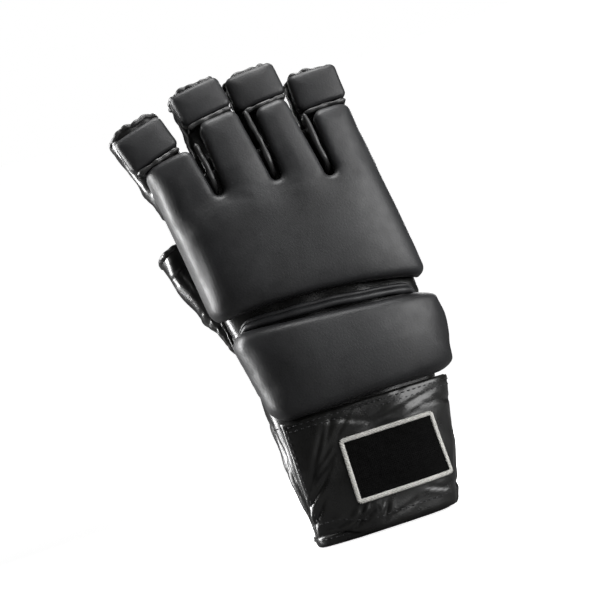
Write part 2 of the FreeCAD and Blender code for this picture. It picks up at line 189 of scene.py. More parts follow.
GRIP_PATCH_FOLDS = [(51, 12, (-40, 40), (47, 77), 5, 20, 20, 0.6, 1.0)]
GRIP_BAR_FOLDS = [(53, 16, (-40, 34), (57, 67), 10, 25, 12, 0.7, 0.9)]
STRAP_FOLDS = [
    (62, 14, (-142, -8), (4, 13), 0, 14, 24, 0.9, 1.2),
    (63, 14, (-142, -8), (50, 60), 0, 10, 28, 1.0, 1.2),
    (64, 9, (-48, -8), (10, 52), 82, 14, 22, 0.8, 1.2),
    (65, 7, (-52, -26), (8, 48), -58, 9, 24, 1.5, 1.7),
    (67, 9, (-141, -126), (8, 54), 76, 14, 26, 1.4, 1.4),
    (68, 8, (-126, -98), (4, 14), 62, 22, 15, 1.3, 1.3),
    (69, 6, (-66, -56), (8, 54), 84, 8, 26, 1.0, 1.4),
]


def folds_from(table):
    """Fold lines (s0, z0, s1, z1, depth, width) drawn at random from the rows of a table."""
    lines = []
    for seed, count, s_span, z_span, lean, spread, length, depth, width in table:
        rng = np.random.default_rng(seed)
        for _ in range(count):
            s = rng.uniform(*s_span)
            z = rng.uniform(*z_span)
            angle = math.radians(lean + rng.normal() * spread)
            half = length * rng.uniform(0.5, 1.3) / 2
            ds, dz = half * math.cos(angle), half * math.sin(angle)
            this_depth = depth * rng.uniform(0.5, 1.3)
            lines.append((s - ds, z - dz, s + ds, z + dz, this_depth, width * rng.uniform(0.7, 1.4)))
    return lines


def crease(s, z, lines):
    """Height of folds in leather: a sharp valley between two soft ridges."""
    height = np.zeros_like(s)
    for s0, z0, s1, z1, depth, width in lines:
        ds, dz = s1 - s0, z1 - z0
        t = np.clip(((s - s0) * ds + (z - z0) * dz) / (ds * ds + dz * dz), 0, 1)
        gap = np.hypot(s - s0 - t * ds, z - z0 - t * dz) / width
        ends = np.sin(math.pi * (0.08 + 0.84 * t))
        height += depth * ends * (0.45 * np.exp(-(gap / 2.6) ** 2) - np.exp(-gap ** 1.4))
    return height


# ---- Arrays of points --------------------------------------------------------------------------

def waves(points, length, seed, count=20):
    """Smooth noise of about unit size whose bumps are about one length across."""
    rng = np.random.default_rng(seed)
    directions = unit(rng.normal(size=(count, 3)))
    speeds = 2 * math.pi / length * rng.uniform(0.6, 1.5, (count, 1))
    phases = rng.uniform(0, 2 * math.pi, count)
    return np.cos(points @ (directions * speeds).T + phases).sum(-1) / math.sqrt(count / 2)


def smooth(value, low, high):
    """0 below low, 1 above high, smooth between."""
    t = np.clip((value - low) / (high - low), 0, 1)
    return t * t * (3 - 2 * t)


def unit(vectors):
    """The same vectors, each of length 1."""
    return vectors / np.linalg.norm(vectors, axis=-1, keepdims=True)


def raised(points, normals, height):
    """Points moved along their normals."""
    return points + normals * np.asarray(height)[..., None]


def columns_at(at, known, rows):
    """Rows interpolated at some values, where known has the value of each row."""
    return np.stack([np.interp(at, known, rows[:, k]) for k in range(rows.shape[1])], axis=-1)


def run_of(path):
    """Distance along a path from its first point to each of its points."""
    return np.concatenate([[0], np.cumsum(np.linalg.norm(np.diff(path, axis=0), axis=1))])


def even(path, count):
    """A closed path with evenly spaced points."""
    line = np.concatenate([path, path[:1]])
    run = run_of(line)
    return columns_at(np.linspace(0, run[-1], count, endpoint=False), run, line)


def placed(points, place):
    """Points of a frame, in the frame that it stands in."""
    matrix = np.array(place)
    return np.asarray(points) @ matrix[:3, :3].T + matrix[:3, 3]


def seen_from(place, x, z):
    """Coordinates of points in the plane y = 0, seen from another frame."""
    m = np.array(place.inverted())
    return [m[k, 0] * x + m[k, 2] * z + m[k, 3] for k in range(3)]


# ---- Points on a body --------------------------------------------------------------------------

BACK, PALM = -1, 1


def section_at(sections, z):
    """Half width, half depth and centre of a body at heights z, one column each."""
    table = np.array(sections, float)
    return [np.interp(z, table[:, 0], table[:, k]) for k in range(1, 5)]


def tube(sections, heights, turns):
    """Grid of points and outward normals on a body, one row for each height."""
    angle = np.linspace(0, 2 * math.pi, 721)
    cosine = np.sign(np.cos(angle)) * np.abs(np.cos(angle)) ** (2 / ROUNDNESS)
    sine = np.sign(np.sin(angle)) * np.abs(np.sin(angle)) ** (2 / ROUNDNESS)
    points = np.zeros((len(heights), len(turns), 3))
    normals = np.zeros_like(points)
    for row, z in enumerate(heights):
        a, b, cx, cy = section_at(sections, z)
        x, y = a * cosine, b * sine
        length = np.concatenate([[0], np.cumsum(np.hypot(np.diff(x), np.diff(y)))])
        length /= length[-1]
        px = np.interp(np.mod(turns, 1), length, x)
        py = np.interp(np.mod(turns, 1), length, y)
        points[row] = np.stack([px + cx, py + cy, np.full(len(turns), z)], axis=-1)
        nx = np.sign(px) * np.abs(px / a) ** (ROUNDNESS - 1) / a
        ny = np.sign(py) * np.abs(py / b) ** (ROUNDNESS - 1) / b
        normals[row] = np.stack([nx, ny, np.zeros(len(turns))], axis=-1)
    return points, unit(normals)


def on_body(sections, x, z, side, lift=0.0):
    """Points and normals above the back or the palm of a body, at given x and z."""
    x, z = np.broadcast_arrays(np.asarray(x, float), np.asarray(z, float))
    a, b, cx, cy = section_at(sections, z)
    share = np.clip(np.abs((x - cx) / a), 0, 0.999)
    y = b * (1 - share ** ROUNDNESS) ** (1 / ROUNDNESS)
    nx = np.sign(x - cx) * share ** (ROUNDNESS - 1) / a
    ny = side * (y / b) ** (ROUNDNESS - 1) / b
    normals = unit(np.stack([nx, ny, np.zeros_like(x)], axis=-1))
    return raised(np.stack([x, cy + side * y, z], axis=-1), normals, lift), normals


def turn_at(sections, z, x, side):
    """Turn at which a body's outline passes x on its back or its palm."""
    turns = np.linspace(0, 0.5, 400) if side == PALM else np.linspace(0, -0.5, 400)
    points, _ = tube(sections, [z], turns)
    return float(np.interp(-x, -points[0, :, 0], turns))


def girth(sections, z):
    """Rough girth of a body, for turning turns into millimetres."""
    a, b, _, _ = section_at(sections, z)
    return 4 * (a + b) * 0.93


def box_outline(x_span, z_span, inset, corner, count):
    """Closed round-cornered outline of (x, z) points inside a rectangle."""
    angle = np.linspace(0, 2 * math.pi, count, endpoint=False)
    directions = np.stack([np.cos(angle), np.sin(angle)], axis=-1)
    spans = np.array([x_span, z_span], float)
    half = (spans[:, 1] - spans[:, 0]) / 2 - inset
    points = directions / np.abs(directions).max(axis=1, keepdims=True) * half
    over = np.maximum(np.abs(points) - half + corner, 0)
    far = np.hypot(over[:, 0], over[:, 1])
    pull = np.where(far > corner, corner / np.maximum(far, 1e-6), 1.0)
    points = np.sign(points) * (np.abs(points) - over + over * pull[:, None])
    return points + spans.mean(axis=1)


# ---- Meshes ------------------------------------------------------------------------------------

OFF_AXIS = (0.13, 0.97, 0.21)


def grid_faces(rows, cols, start, around, flip=False):
    """Quads of one grid of points."""
    i, j = np.meshgrid(np.arange(rows - 1), np.arange(cols if around else cols - 1), indexing="ij")
    k = (j + 1) % cols
    quads = np.stack([i * cols + j, i * cols + k, (i + 1) * cols + k, (i + 1) * cols + j], axis=-1)
    quads = quads.reshape(-1, 4) + start
    return quads[:, ::-1] if flip else quads


def capped_faces(rows, cols):
    """Faces of a tube of points that is closed at both ends."""
    caps = [list(range(cols))[::-1], list(range((rows - 1) * cols, rows * cols))]
    return grid_faces(rows, cols, 0, True).tolist() + caps


def from_ends(count):
    """Steps from each of some points to the nearer end of their row."""
    return np.minimum(np.arange(count), np.arange(count)[::-1])


def sheet(points, normals, thickness, rim, around=False):
    """Closed sheet under a grid of points. Its free edges turn in over rim rows and columns."""
    rows, cols = points.shape[:2]
    count = rows * cols
    edge = from_ends(rows)[:, None] * np.ones((1, cols))
    if not around:
        edge = np.minimum(edge, from_ends(cols)[None, :])
    fall = np.clip(edge / rim, 0, 1)
    turn_in = (1 - np.sqrt(1 - (1 - fall) ** 2 * 0.98)) * thickness / 2
    outer = raised(points, -normals, turn_in)
    inner = raised(points, -normals, thickness - turn_in)
    faces = [grid_faces(rows, cols, 0, around), grid_faces(rows, cols, count, around, True)]
    across = np.arange(cols if around else cols - 1)
    after = (across + 1) % cols
    last = (rows - 1) * cols
    faces.append(np.stack([across, across + count, after + count, after], axis=-1))
    faces.append(np.stack([across, after, after + count, across + count], axis=-1) + last)
    if not around:
        up = np.arange(rows - 1) * cols
        side = np.stack([up, up + cols, up + cols + count, up + count], axis=-1)
        faces.append(side)
        faces.append((side + cols - 1)[:, ::-1])
    return np.concatenate([outer.reshape(-1, 3), inner.reshape(-1, 3)]), np.concatenate(faces)


def sweep(path, radius, sides, closed=False):
    """Tube along a path of points; its radius may vary along it."""
    path = np.asarray(path, float)
    count = len(path)
    ahead = np.roll(path, -1, 0) - np.roll(path, 1, 0) if closed else np.gradient(path, axis=0)
    ahead = unit(ahead)
    up = unit(np.cross(ahead, OFF_AXIS))
    side = np.cross(ahead, up)
    angle = np.linspace(0, 2 * math.pi, sides, endpoint=False)[None, :, None]
    ring = up[:, None] * np.cos(angle) + side[:, None] * np.sin(angle)
    points = (path[:, None] + ring * (np.ones(count) * radius)[:, None, None]).reshape(-1, 3)
    if not closed:
        return points, capped_faces(count, sides)
    first = np.arange(sides)
    after = (first + 1) % sides
    last = (count - 1) * sides
    wrap = np.stack([first + last, after + last, after, first], axis=-1)
    return points, grid_faces(count, sides, 0, True).tolist() + wrap.tolist()


def rod(path, radius, ends, sides, uneven=(0, 1, 0)):
    """Rod that closes like a capsule over some steps at each end.

    Its thickness is uneven by a share, over a length, from a seed.
    """
    unevenness, length, seed = uneven
    share = np.clip(from_ends(len(path)) / ends, 0, 1)
    radii = radius * np.sqrt(np.clip(1 - (1 - share) ** 2, 0.02, 1))
    return sweep(path, radii * (1 + unevenness * waves(path, length, seed)), sides)


def join(parts):
    """One mesh from several."""
    points, faces, start = [], [], 0
    for part_points, part_faces in parts:
        points.append(np.asarray(part_points))
        faces += [[int(v) + start for v in face] for face in part_faces]
        start += len(part_points)
    return np.concatenate(points), faces


# ---- Rounded solids from distance fields -------------------------------------------------------

def round_join(a, b, radius):
    """Intersection of two fields with a rounded edge."""
    u = np.maximum(radius + a, 0)
    v = np.maximum(radius + b, 0)
    return np.minimum(-radius, np.maximum(a, b)) + np.hypot(u, v)


def rounded_box(x, z, x_span, z_span, radius):
    """Distance in a plane to a rectangle with round corners."""
    dx = np.abs(x - sum(x_span) / 2) - (x_span[1] - x_span[0]) / 2 + radius
    dz = np.abs(z - sum(z_span) / 2) - (z_span[1] - z_span[0]) / 2 + radius
    return np.hypot(np.maximum(dx, 0), np.maximum(dz, 0)) + np.minimum(np.maximum(dx, dz), 0) - radius


def body_field(x, y, z, sections, grow_x, grow_y, power=ROUNDNESS):
    """Distance-like field of a body grown sideways and in depth."""
    a, b, cx, cy = section_at(sections, z)
    a, b = a + grow_x, b + grow_y
    radius = (np.abs((x - cx) / a) ** power + np.abs((y - cy) / b) ** power) ** (1 / power)
    return (radius - 1) * b


def solid(field, low, high, voxel):
    """Mesh of a field's zero surface."""
    start = np.array(low, float) - 3 * voxel
    axes = [np.arange(s, h + 3 * voxel, voxel) for s, h in zip(start, high)]
    x, y, z = np.meshgrid(*axes, indexing="ij")
    values = np.clip(field(x, y, z), -3 * voxel, 3 * voxel)
    grid = openvdb.FloatGrid(3 * voxel)
    grid.copyFromArray(values.astype(np.float32))
    points, quads = grid.convertToQuads()
    return points * voxel + start, quads[:, ::-1]


# ---- Materials ---------------------------------------------------------------------------------

def add_node(tree, kind, links=None, **values):
    """Adds a node with its values, some of inputs and some of settings, and its links."""
    node = tree.nodes.new(kind)
    for key, value in values.items():
        if key in node.inputs:
            node.inputs[key].default_value = value
        else:
            setattr(node, key, value)
    for key, source in (links or {}).items():
        tree.links.new(source, node.inputs[key])
    return node


class Nodes:
    """A material and short ways to add the shader nodes that it needs."""

    def __init__(self, name):
        self.material = bpy.data.materials.new(name)
        self.material.use_nodes = True
        self.tree = self.material.node_tree
        self.shader = self.tree.nodes["Principled BSDF"]
        self.place = self.add("ShaderNodeTexCoord").outputs["Object"]

    def add(self, kind, links=None, **values):
        return add_node(self.tree, kind, links, **values)

    def texture(self, kind, output, **values):
        return self.add(f"ShaderNodeTex{kind}", {"Vector": self.place}, **values).outputs[output]

    def noise(self, scale, detail, roughness=0.5):
        return self.texture("Noise", "Fac", Scale=scale, Detail=detail, Roughness=roughness)

    def bands(self, direction, scale, distortion=0.0):
        return self.texture("Wave", "Fac", bands_direction=direction, Scale=scale, Distortion=distortion)

    def span(self, source, low, high, to_low, to_high):
        values = {"From Min": low, "From Max": high, "To Min": to_low, "To Max": to_high}
        return self.add("ShaderNodeMapRange", {"Value": source}, **values).outputs["Result"]

    def mix(self, factor, low, high):
        node = self.add("ShaderNodeMix", {"Factor": factor}, data_type="RGBA")
        node.inputs[6].default_value = (*low, 1)
        node.inputs[7].default_value = (*high, 1)
        return node.outputs[2]

    def bump(self, height, distance, strength, under=None):
        links = {"Height": height, "Normal": under} if under else {"Height": height}
        return self.add("ShaderNodeBump", links, Distance=distance, Strength=strength).outputs["Normal"]

    def set(self, key, source):
        if hasattr(source, "links"):
            self.tree.links.new(source, self.shader.inputs[key])
        else:
            self.shader.inputs[key].default_value = source


def grey(level):
    return (level, level, level)


def leather(name, dark, light, rough, grain, grain_depth, wrinkle_depth, coat=0.0):
    """Leather with grain cells, fine wrinkles, uneven shine and a painted highlight that makes its sharp
    edges paler.
    """
    nodes = Nodes(name)
    edge_sharpness = nodes.add("ShaderNodeNewGeometry").outputs["Pointiness"]
    # Painted highlight: sharp convex edges are painted paler, as thin bright lines along every edge, and
    # added to the random tone.
    edge_highlight = nodes.span(edge_sharpness, 0.505, 0.56, 0.0, 0.45)
    cloud = nodes.span(nodes.noise(38.0, 4.0), 0.35, 0.7, 0.0, 0.6)
    tone_and_edge_highlight = nodes.add("ShaderNodeMath", {0: cloud, 1: edge_highlight}, operation="ADD")
    nodes.set("Base Color", nodes.mix(tone_and_edge_highlight.outputs[0], dark, light))
    nodes.set("Roughness", nodes.span(nodes.noise(160.0, 5.0), 0.3, 0.7, *rough))
    nodes.set("Specular IOR Level", 0.5)
    nodes.set("Coat Weight", coat)
    nodes.set("Coat Roughness", 0.22)
    cells = nodes.texture("Voronoi", "Distance", feature="DISTANCE_TO_EDGE", Scale=grain)
    grained = nodes.bump(nodes.span(cells, 0.0, 0.35, 0.0, 1.0), grain_depth * MM, 0.6)
    nodes.set("Normal", nodes.bump(nodes.noise(420.0, 5.0, 0.6), wrinkle_depth * MM, 0.7, grained))
    return nodes.material


def fabric(name, dark, light, scale, depth, rough=0.92, sheen=0.25, shine=0.5):
    """Brushed or woven cloth: crossed threads broken up by fuzz."""
    nodes = Nodes(name)
    fuzz = nodes.noise(1300.0, 4.0, 0.7)
    nodes.set("Base Color", nodes.mix(nodes.span(fuzz, 0.3, 0.7, 0, 1), dark, light))
    nodes.set("Roughness", rough)
    nodes.set("Sheen Weight", sheen)
    nodes.set("Specular IOR Level", shine)
    crossed = {number: nodes.bands(direction, scale, 1.5) for number, direction in enumerate("XZ")}
    weave = nodes.add("ShaderNodeMath", crossed, operation="MULTIPLY")
    woven = nodes.bump(weave.outputs[0], depth * MM, 0.8)
    nodes.set("Normal", nodes.bump(fuzz, depth * MM, 0.9, woven))
    return nodes.material


def thread(name, color, rough):
    """Twisted sewing thread."""
    nodes = Nodes(name)
    dark = tuple(channel * 0.6 for channel in color)
    fibre = nodes.span(nodes.noise(1400.0, 2.0), 0.3, 0.7, 0, 1)
    nodes.set("Base Color", nodes.mix(fibre, dark, color))
    nodes.set("Roughness", rough)
    nodes.set("Normal", nodes.bump(nodes.bands("DIAGONAL", 450.0), 0.15 * MM, 0.8))
    return nodes.material


# A look is a material and the name of a slot, which nothing uses.
SATIN = leather("satin_leather", (0.013, 0.013, 0.014), (0.030, 0.031, 0.033), rough=(0.42, 0.54),
                grain=620, grain_depth=0.03, wrinkle_depth=0.03), "satin_leather"
GLOSSY = leather("glossy_leather", grey(0.004), (0.014, 0.014, 0.013), rough=(0.24, 0.40),
                 grain=720, grain_depth=0.05, wrinkle_depth=0.08, coat=0.4), "glossy_leather"
RIM_TRIM = leather("trim_leather", grey(0.009), grey(0.05), rough=(0.3, 0.45),
                   grain=900, grain_depth=0.05, wrinkle_depth=0.05, coat=0.1), "glossy_leather"
BACK_TRIM = RIM_TRIM[0], "satin_leather"
LINING = fabric("lining_cloth", (0.006, 0.006, 0.007), (0.03, 0.03, 0.032),
                scale=260, depth=0.25), "lining_fabric"
PILE = fabric("fastener_pile", grey(0.004), grey(0.02), scale=420, depth=0.35), "fastener_pile"
PATCH = fabric("patch_cloth", grey(0.0015), grey(0.007), scale=330, depth=0.22,
               rough=0.95, sheen=0.0, shine=0.06), "patch_fabric"
BORDER = thread("border_thread", (0.80, 0.79, 0.75), 0.8), "border_thread"
BLACK_THREAD = thread("black_thread", (0.028, 0.028, 0.03), 0.5), "glossy_leather"


# ---- Pieces ------------------------------------------------------------------------------------

def knuckle_bend(name):
    """The stretch over which a finger sleeve bends, in metres in the row frame."""
    place = HAND @ KNUCKLES[name]
    return "hand", name, *(tuple(place @ Vector((0, 10, z)) * MM) for z in (-17, 13))


# A bend is two bodies and the ends of the stretch between them, in metres.
WRIST_BEND = "cuff", "hand", *((WRIST.x * MM, 0, (WRIST.z + z) * MM) for z in (-38, 8))
STRAP_BEND = "cuff", "strap", (0.040, -0.016, 0.030), (0.034, -0.022, 0.030)

SOFTEN = "LAPLACIANSMOOTH", {"iterations": 2, "lambda_factor": 0.4}
REFINE = "SUBSURF", {"levels": 1, "render_levels": 1}


def make_object(name, mesh, place, material):
    """Mesh object from millimetre points in a frame, its faces turned outwards."""
    points, faces = mesh
    data = bpy.data.meshes.new(name)
    data.from_pydata((placed(points, place) * MM).tolist(), [], [list(map(int, face)) for face in faces])
    data.validate()
    shell = bmesh.new()
    shell.from_mesh(data)
    bmesh.ops.recalc_face_normals(shell, faces=shell.faces)
    shell.to_mesh(data)
    shell.free()
    data.materials.append(material)
    data.shade_smooth()
    piece = bpy.data.objects.new(name, data)
    bpy.context.scene.collection.objects.link(piece)
    return piece


def apply_modifier(piece, kind, values):
    """Adds one modifier, applies it and drops it."""
    modifier = piece.modifiers.new(kind.lower(), kind)
    for key, value in values.items():
        setattr(modifier, key, value)
    bpy.context.view_layer.update()
    graph = bpy.context.evaluated_depsgraph_get()
    mesh = bpy.data.meshes.new_from_object(piece.evaluated_get(graph))
    piece.modifiers.clear()
    old = piece.data
    piece.data = mesh
    bpy.data.meshes.remove(old)


def carve(piece, cutter):
    """Cuts a closed mesh out of a piece and drops the cutter."""
    apply_modifier(piece, "BOOLEAN", {"operation": "DIFFERENCE", "solver": "EXACT", "object": cutter})
    bpy.data.objects.remove(cutter)
    piece.data.shade_smooth()


def add_piece(name, mesh, place, look, rides, *replaces, cut=None, modifiers=()):
    """Adds a visible piece and hides the CAD nodes it stands for. A piece that rides a body is parented
    to it; a piece given a bend is only baked in place.
    """
    material, slot = look
    piece = make_object(name, mesh, place, material)
    if cut is not None:
        carve(piece, thumb_cutter(*cut))
    for kind, values in modifiers:
        apply_modifier(piece, kind, values)
    if isinstance(rides, str):
        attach(piece, rides)
    else:
        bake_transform(piece)
    if replaces:
        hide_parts(*replaces)


def add_stitches(name, path, normals, place, rides):
    """Adds a row of thread stitches that lie on a surface along a path."""
    run = run_of(path)
    count = max(int(run[-1] / STITCH_PITCH), 2)
    ts = np.linspace(-0.5, 0.5, 5)
    arch = STITCH_RADIUS * 0.9 * np.cos(ts * math.pi) - STITCH_RADIUS * 0.45
    parts = []
    for k in range(count):
        centre = run[-1] * (k + 0.5) / count
        line = columns_at(centre + ts * STITCH_LENGTH, run, path)
        line += columns_at(centre, run, normals) * arch[:, None]
        parts.append(rod(line, STITCH_RADIUS, ends=1.5, sides=6))
    add_piece(name, join(parts), place, BLACK_THREAD, rides)


# ---- Pads --------------------------------------------------------------------------------------

PRESSED_CLOTH = {
    "quality": 6,
    "mass": 0.2,
    "use_pressure": True,
    "uniform_pressure_force": 4.0,
    "shrink_min": -0.015,
    "vertex_group_mass": "seam",
}
SIMULATED_FRAMES = 20
NEIGHBOURS = 28


def pressed_skin(field, low, high, sewn_y, voxel, cap):
    """Blows a coarse cloth skin of a pad up and returns where its points were and how they moved."""
    points, quads = solid(field, low, high, voxel)
    skin = make_object("pad_skin", (points, quads), CUFF, SATIN[0])
    seam = skin.vertex_groups.new(name="seam")
    seam.add(np.flatnonzero(points[:, 1] > sewn_y).tolist(), 1.0, "ADD")
    cloth = skin.modifiers.new("cloth", "CLOTH")
    for key, value in PRESSED_CLOTH.items():
        setattr(cloth.settings, key, value)
    cloth.settings.effector_weights.gravity = 0.0
    cloth.collision_settings.use_collision = False
    cloth.point_cache.frame_start = 1
    cloth.point_cache.frame_end = SIMULATED_FRAMES
    for frame_number in range(1, SIMULATED_FRAMES + 1):
        bpy.context.scene.frame_set(frame_number)
    shown = skin.evaluated_get(bpy.context.evaluated_depsgraph_get())
    blown = np.zeros(len(points) * 3)
    shown.data.vertices.foreach_get("co", blown)
    moves = blown.reshape(-1, 3) / MM - points
    length = np.linalg.norm(moves, axis=1, keepdims=True)
    moves *= np.minimum(1, cap / np.maximum(length, 1e-6))
    bpy.data.objects.remove(skin)
    bpy.context.scene.frame_set(1)
    return points, moves


def puffed(points, field, low, high, sewn_y, voxel, cap):
    """Fine pad points carried along by the blown-up coarse skin of the same pad."""
    rest, moves = pressed_skin(field, low, high, sewn_y, voxel, cap)
    tree = KDTree(len(rest))
    for number, point in enumerate(rest):
        tree.insert(point, number)
    tree.balance()
    result = np.array(points)
    for number, point in enumerate(points):
        near = tree.find_n(point, NEIGHBOURS)
        shares = np.array([1 / (distance + 2.0) ** 2 for _, _, distance in near])
        carried = moves[[index for _, index, _ in near]]
        result[number] += (carried * shares[:, None]).sum(0) / shares.sum()
    return result


def add_pad(name, field, low, high, place, body, sewn_y=PAD_SEWN_Y, voxel=PAD_VOXEL, coarse=3.0, cap=0.7):
    """Adds a padded piece from its field. No point of it is blown out by more than the cap."""
    points, quads = solid(field, low, high, voxel)
    points = puffed(points, field, low, high, sewn_y, coarse, cap)
    add_piece(name, (points, quads), place, SATIN, body, f"{name}_foam", f"{name}_cover",
              modifiers=(SOFTEN, REFINE))


def lobe_tops():
    """Top of each knuckle lobe, in the hand frame."""
    return [KNUCKLES[name].translation.z - KNUCKLE_RISE for name in FINGERS]


def hand_pad_outline(x, z):
    """Distance to the pad's outline: four lobes over one field, its foot along the wrist crease."""
    corner = 4.5
    lobe = np.searchsorted([slot_x for slot_x, _ in SLOTS], x)
    distance = round_join(np.abs(x) - PAD_HALF, z - np.array(lobe_tops())[lobe], corner)
    for slot_x, foot in SLOTS:
        half = SLOT_HALF * (1.1 + 0.6 * smooth(z, foot, foot + 34))
        groove = half - np.hypot(x - slot_x, np.minimum(z - foot - SLOT_HALF, 0))
        distance = round_join(distance, groove, corner)
    crease_x, _, crease_z = seen_from(CREASE_IN_HAND, x, z)
    foot_line = 3.6 + 3.0 * (1 - (crease_x / PAD_HALF) ** 2) - crease_z
    return round_join(distance, foot_line, 7.0)


def crowned(x, y, z, outline, sections, crown, power, sag, corner):
    """Distance-like field of a pad whose crowned face sags and rolls over into every edge."""
    depth, run = sag
    face = body_field(x, y, z, sections, *crown, power) + depth * np.exp(np.minimum(outline, 0) / run)
    back = np.maximum(y - PAD_BACK, -body_field(x, y, z, sections, 0.35, 0.35))
    return round_join(round_join(face, outline, corner), back, 0.8)


def hand_pad():
    def field(x, y, z):
        return crowned(x, y, z, hand_pad_outline(x, z), HAND_SECTIONS, crown=(9.0, PAD_HEIGHT),
                       power=3.5, sag=(1.7, 5.0), corner=2.8)

    low = (-PAD_HALF - 1, -34, -14)
    high = (PAD_HALF + 1, PAD_BACK + 1, max(lobe_tops()) + 1)
    add_pad("hand_pad", field, low, high, HAND, "hand")


def wrist_pad_outline(x, z):
    """Distance to the wrist pad's outline: narrow at the thumb side, bulging at the other."""
    low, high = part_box("wrist_pad_cover")
    foot, right = low.z / MM, high.x / MM
    _, _, crease_z = seen_from(CREASE, x, z)
    top = crease_z + 3.4
    bottom = foot - 0.5 + 0.012 * (x + 40) - z
    left = -(x + 46) * 0.975 - (z - 104) * 0.22
    bulge = np.hypot(x - right + 24, (z - 86) * 0.95) - 25.0
    bulge = np.where(x > right - 24, bulge, x - right)
    band = round_join(round_join(top, bottom, 8.0), left, 9.0)
    return round_join(band, np.minimum(bulge, x - right + 1.5), 5.0)


def wrist_pad():
    def field(x, y, z):
        return crowned(x, y, z, wrist_pad_outline(x, z), CUFF_SECTIONS, crown=(12.0, PAD_HEIGHT + 0.8),
                       power=2.9, sag=(2.6, 8.0), corner=5.0)

    low, high = (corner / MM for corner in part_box("wrist_pad_cover"))
    add_pad("wrist_pad", field, low - Vector((6, 3, 3)), high + Vector((3, 2, 4)), CUFF, "cuff")


def finger_pad(name):
    """Box-like crowned pad on the back of one finger."""
    half = SLEEVE_HALF[name] + 0.6
    top = 1.0 + FINGER_PAD[name]

    def field(x, y, z):
        outline = rounded_box(x, z, (-half, half), (1.0, top), 3.2)
        slope = 3.0 * (z - 1.0) / FINGER_PAD[name]
        crown = 1.2 * np.exp(np.minimum(outline, 0) / 3.0) + 1.3 * (x / half) ** 2
        face = -(y + 13.8) + slope + crown
        under = np.abs(x / (half + 1.9)) ** ROUNDNESS + np.abs((y - 10) / 13.0) ** ROUNDNESS
        back = np.maximum(y + 1.0, (1 - under ** (1 / ROUNDNESS)) * 12)
        return round_join(round_join(face, outline, 2.0), back, 0.6)

    low, high = (-half - 1, -15, 0), (half + 1, 0, top + 1)
    add_pad(f"{name}_pad", field, low, high, HAND @ KNUCKLES[name], name, sewn_y=-4.0, voxel=0.75,
            coarse=1.8, cap=0.5)


# ---- Leather and cloth round the hand and the cuff ---------------------------------------------

WHOLE = (0, 1)
PALM_HALF = (-0.002, 0.502)
BACK_HALF = (0.502, 0.998)


def body_sheet(sections, z_span, turn_span, offset, wave, folds=(), tucked=False, step=1.2,
               thickness=LEATHER):
    """Sheet that follows a body, with one wave (height, length, seed) and folds along its normal.

    A sheet that goes half way round turns in at its two sides. A tucked sheet turns in at its top.
    """
    around = turn_span == WHOLE
    rows = max(int((z_span[1] - z_span[0]) / step), 4)
    length = (turn_span[1] - turn_span[0]) * girth(sections, sum(z_span) / 2)
    cols = max(int(length / step), 6)
    heights = np.linspace(*z_span, rows)
    turns = np.linspace(*turn_span, cols, endpoint=not around)
    points, normals = tube(sections, heights, turns)
    z = points[..., 2]
    s = (turns[None, :] - 0.25) * girth(sections, heights)[:, None]
    side = 0 if around else smooth(np.abs(turns - sum(turn_span) / 2), 0.235, 0.25)
    top = smooth(z, 84, 92) if tucked else 0
    height = wave[0] * waves(points, *wave[1:]) * (1 - side) + crease(s, z, folds) * (1 - 0.6 * top)
    height += offset - 0.9 * side - 1.6 * top
    return sheet(raised(points, normals, height), normals, thickness, rim=2, around=around)


def cuff_leather():
    """Cuff and wrist up to the palm seam, and the inner leather that closes the wrist behind it."""
    folds = folds_from(CUFF_FOLDS) + CUFF_SIDE_FOLDS
    mesh = body_sheet(CUFF_SECTIONS, (0.3, 96), WHOLE, offset=-0.1, wave=(0.28, 26, 15), folds=folds,
                      tucked=True)
    add_piece("cuff_leather", mesh, CUFF, GLOSSY, WRIST_BEND, "cuff_shell", "cuff_gusset")
    mesh = body_sheet(CUFF_SECTIONS, (88, 124), WHOLE, offset=-1.9, wave=(0.3, 18, 17),
                      folds=folds_from(WRIST_FOLDS))
    add_piece("wrist_leather", mesh, CUFF, GLOSSY, WRIST_BEND)


def hand_leather():
    """Palm from the wrist seam to the webs, folded under the thumb tab, and the leather of the back."""
    folds = folds_from(PALM_FOLDS)
    for angle in np.linspace(-2.9, -0.5, 9):
        c, s = math.cos(angle), math.sin(angle)
        folds.append((33 + 4 * c, 26 + 4 * s, 33 + 17 * c, 26 + 19 * s, 0.7, 0.9))
    mesh = body_sheet(HAND_SECTIONS, (-28, WEB_Z + 1), PALM_HALF, offset=0.1, wave=(0.28, 30, 1),
                      folds=folds)
    add_piece("palm_leather", mesh, HAND, GLOSSY, WRIST_BEND, "palm_panel", cut=THUMB_HOLE)
    mesh = body_sheet(HAND_SECTIONS, (-12, WEB_Z + 4), BACK_HALF, offset=-0.1, wave=(0.35, 24, 8))
    add_piece("back_leather", mesh, HAND, GLOSSY, WRIST_BEND, "dorsal_panel", cut=THUMB_HOLE)


def linings():
    """Fabric inside the cuff, the wrist and the hand."""
    cloth = {"wave": (0.3, 14, 72), "step": 2.0, "thickness": 0.8}
    mesh = body_sheet(CUFF_SECTIONS, (0.8, 92), WHOLE, offset=-1.85, **cloth)
    add_piece("cuff_lining_cloth", mesh, CUFF, LINING, WRIST_BEND, "cuff_lining")
    mesh = body_sheet(HAND_SECTIONS, (-10, 79), WHOLE, offset=-2.1, **cloth)
    add_piece("hand_lining_cloth", mesh, HAND, LINING, WRIST_BEND, "hand_lining",
              cut=(-2.6, -20, THUMB_LENGTH + 8))


# ---- Finger sleeves ----------------------------------------------------------------------------

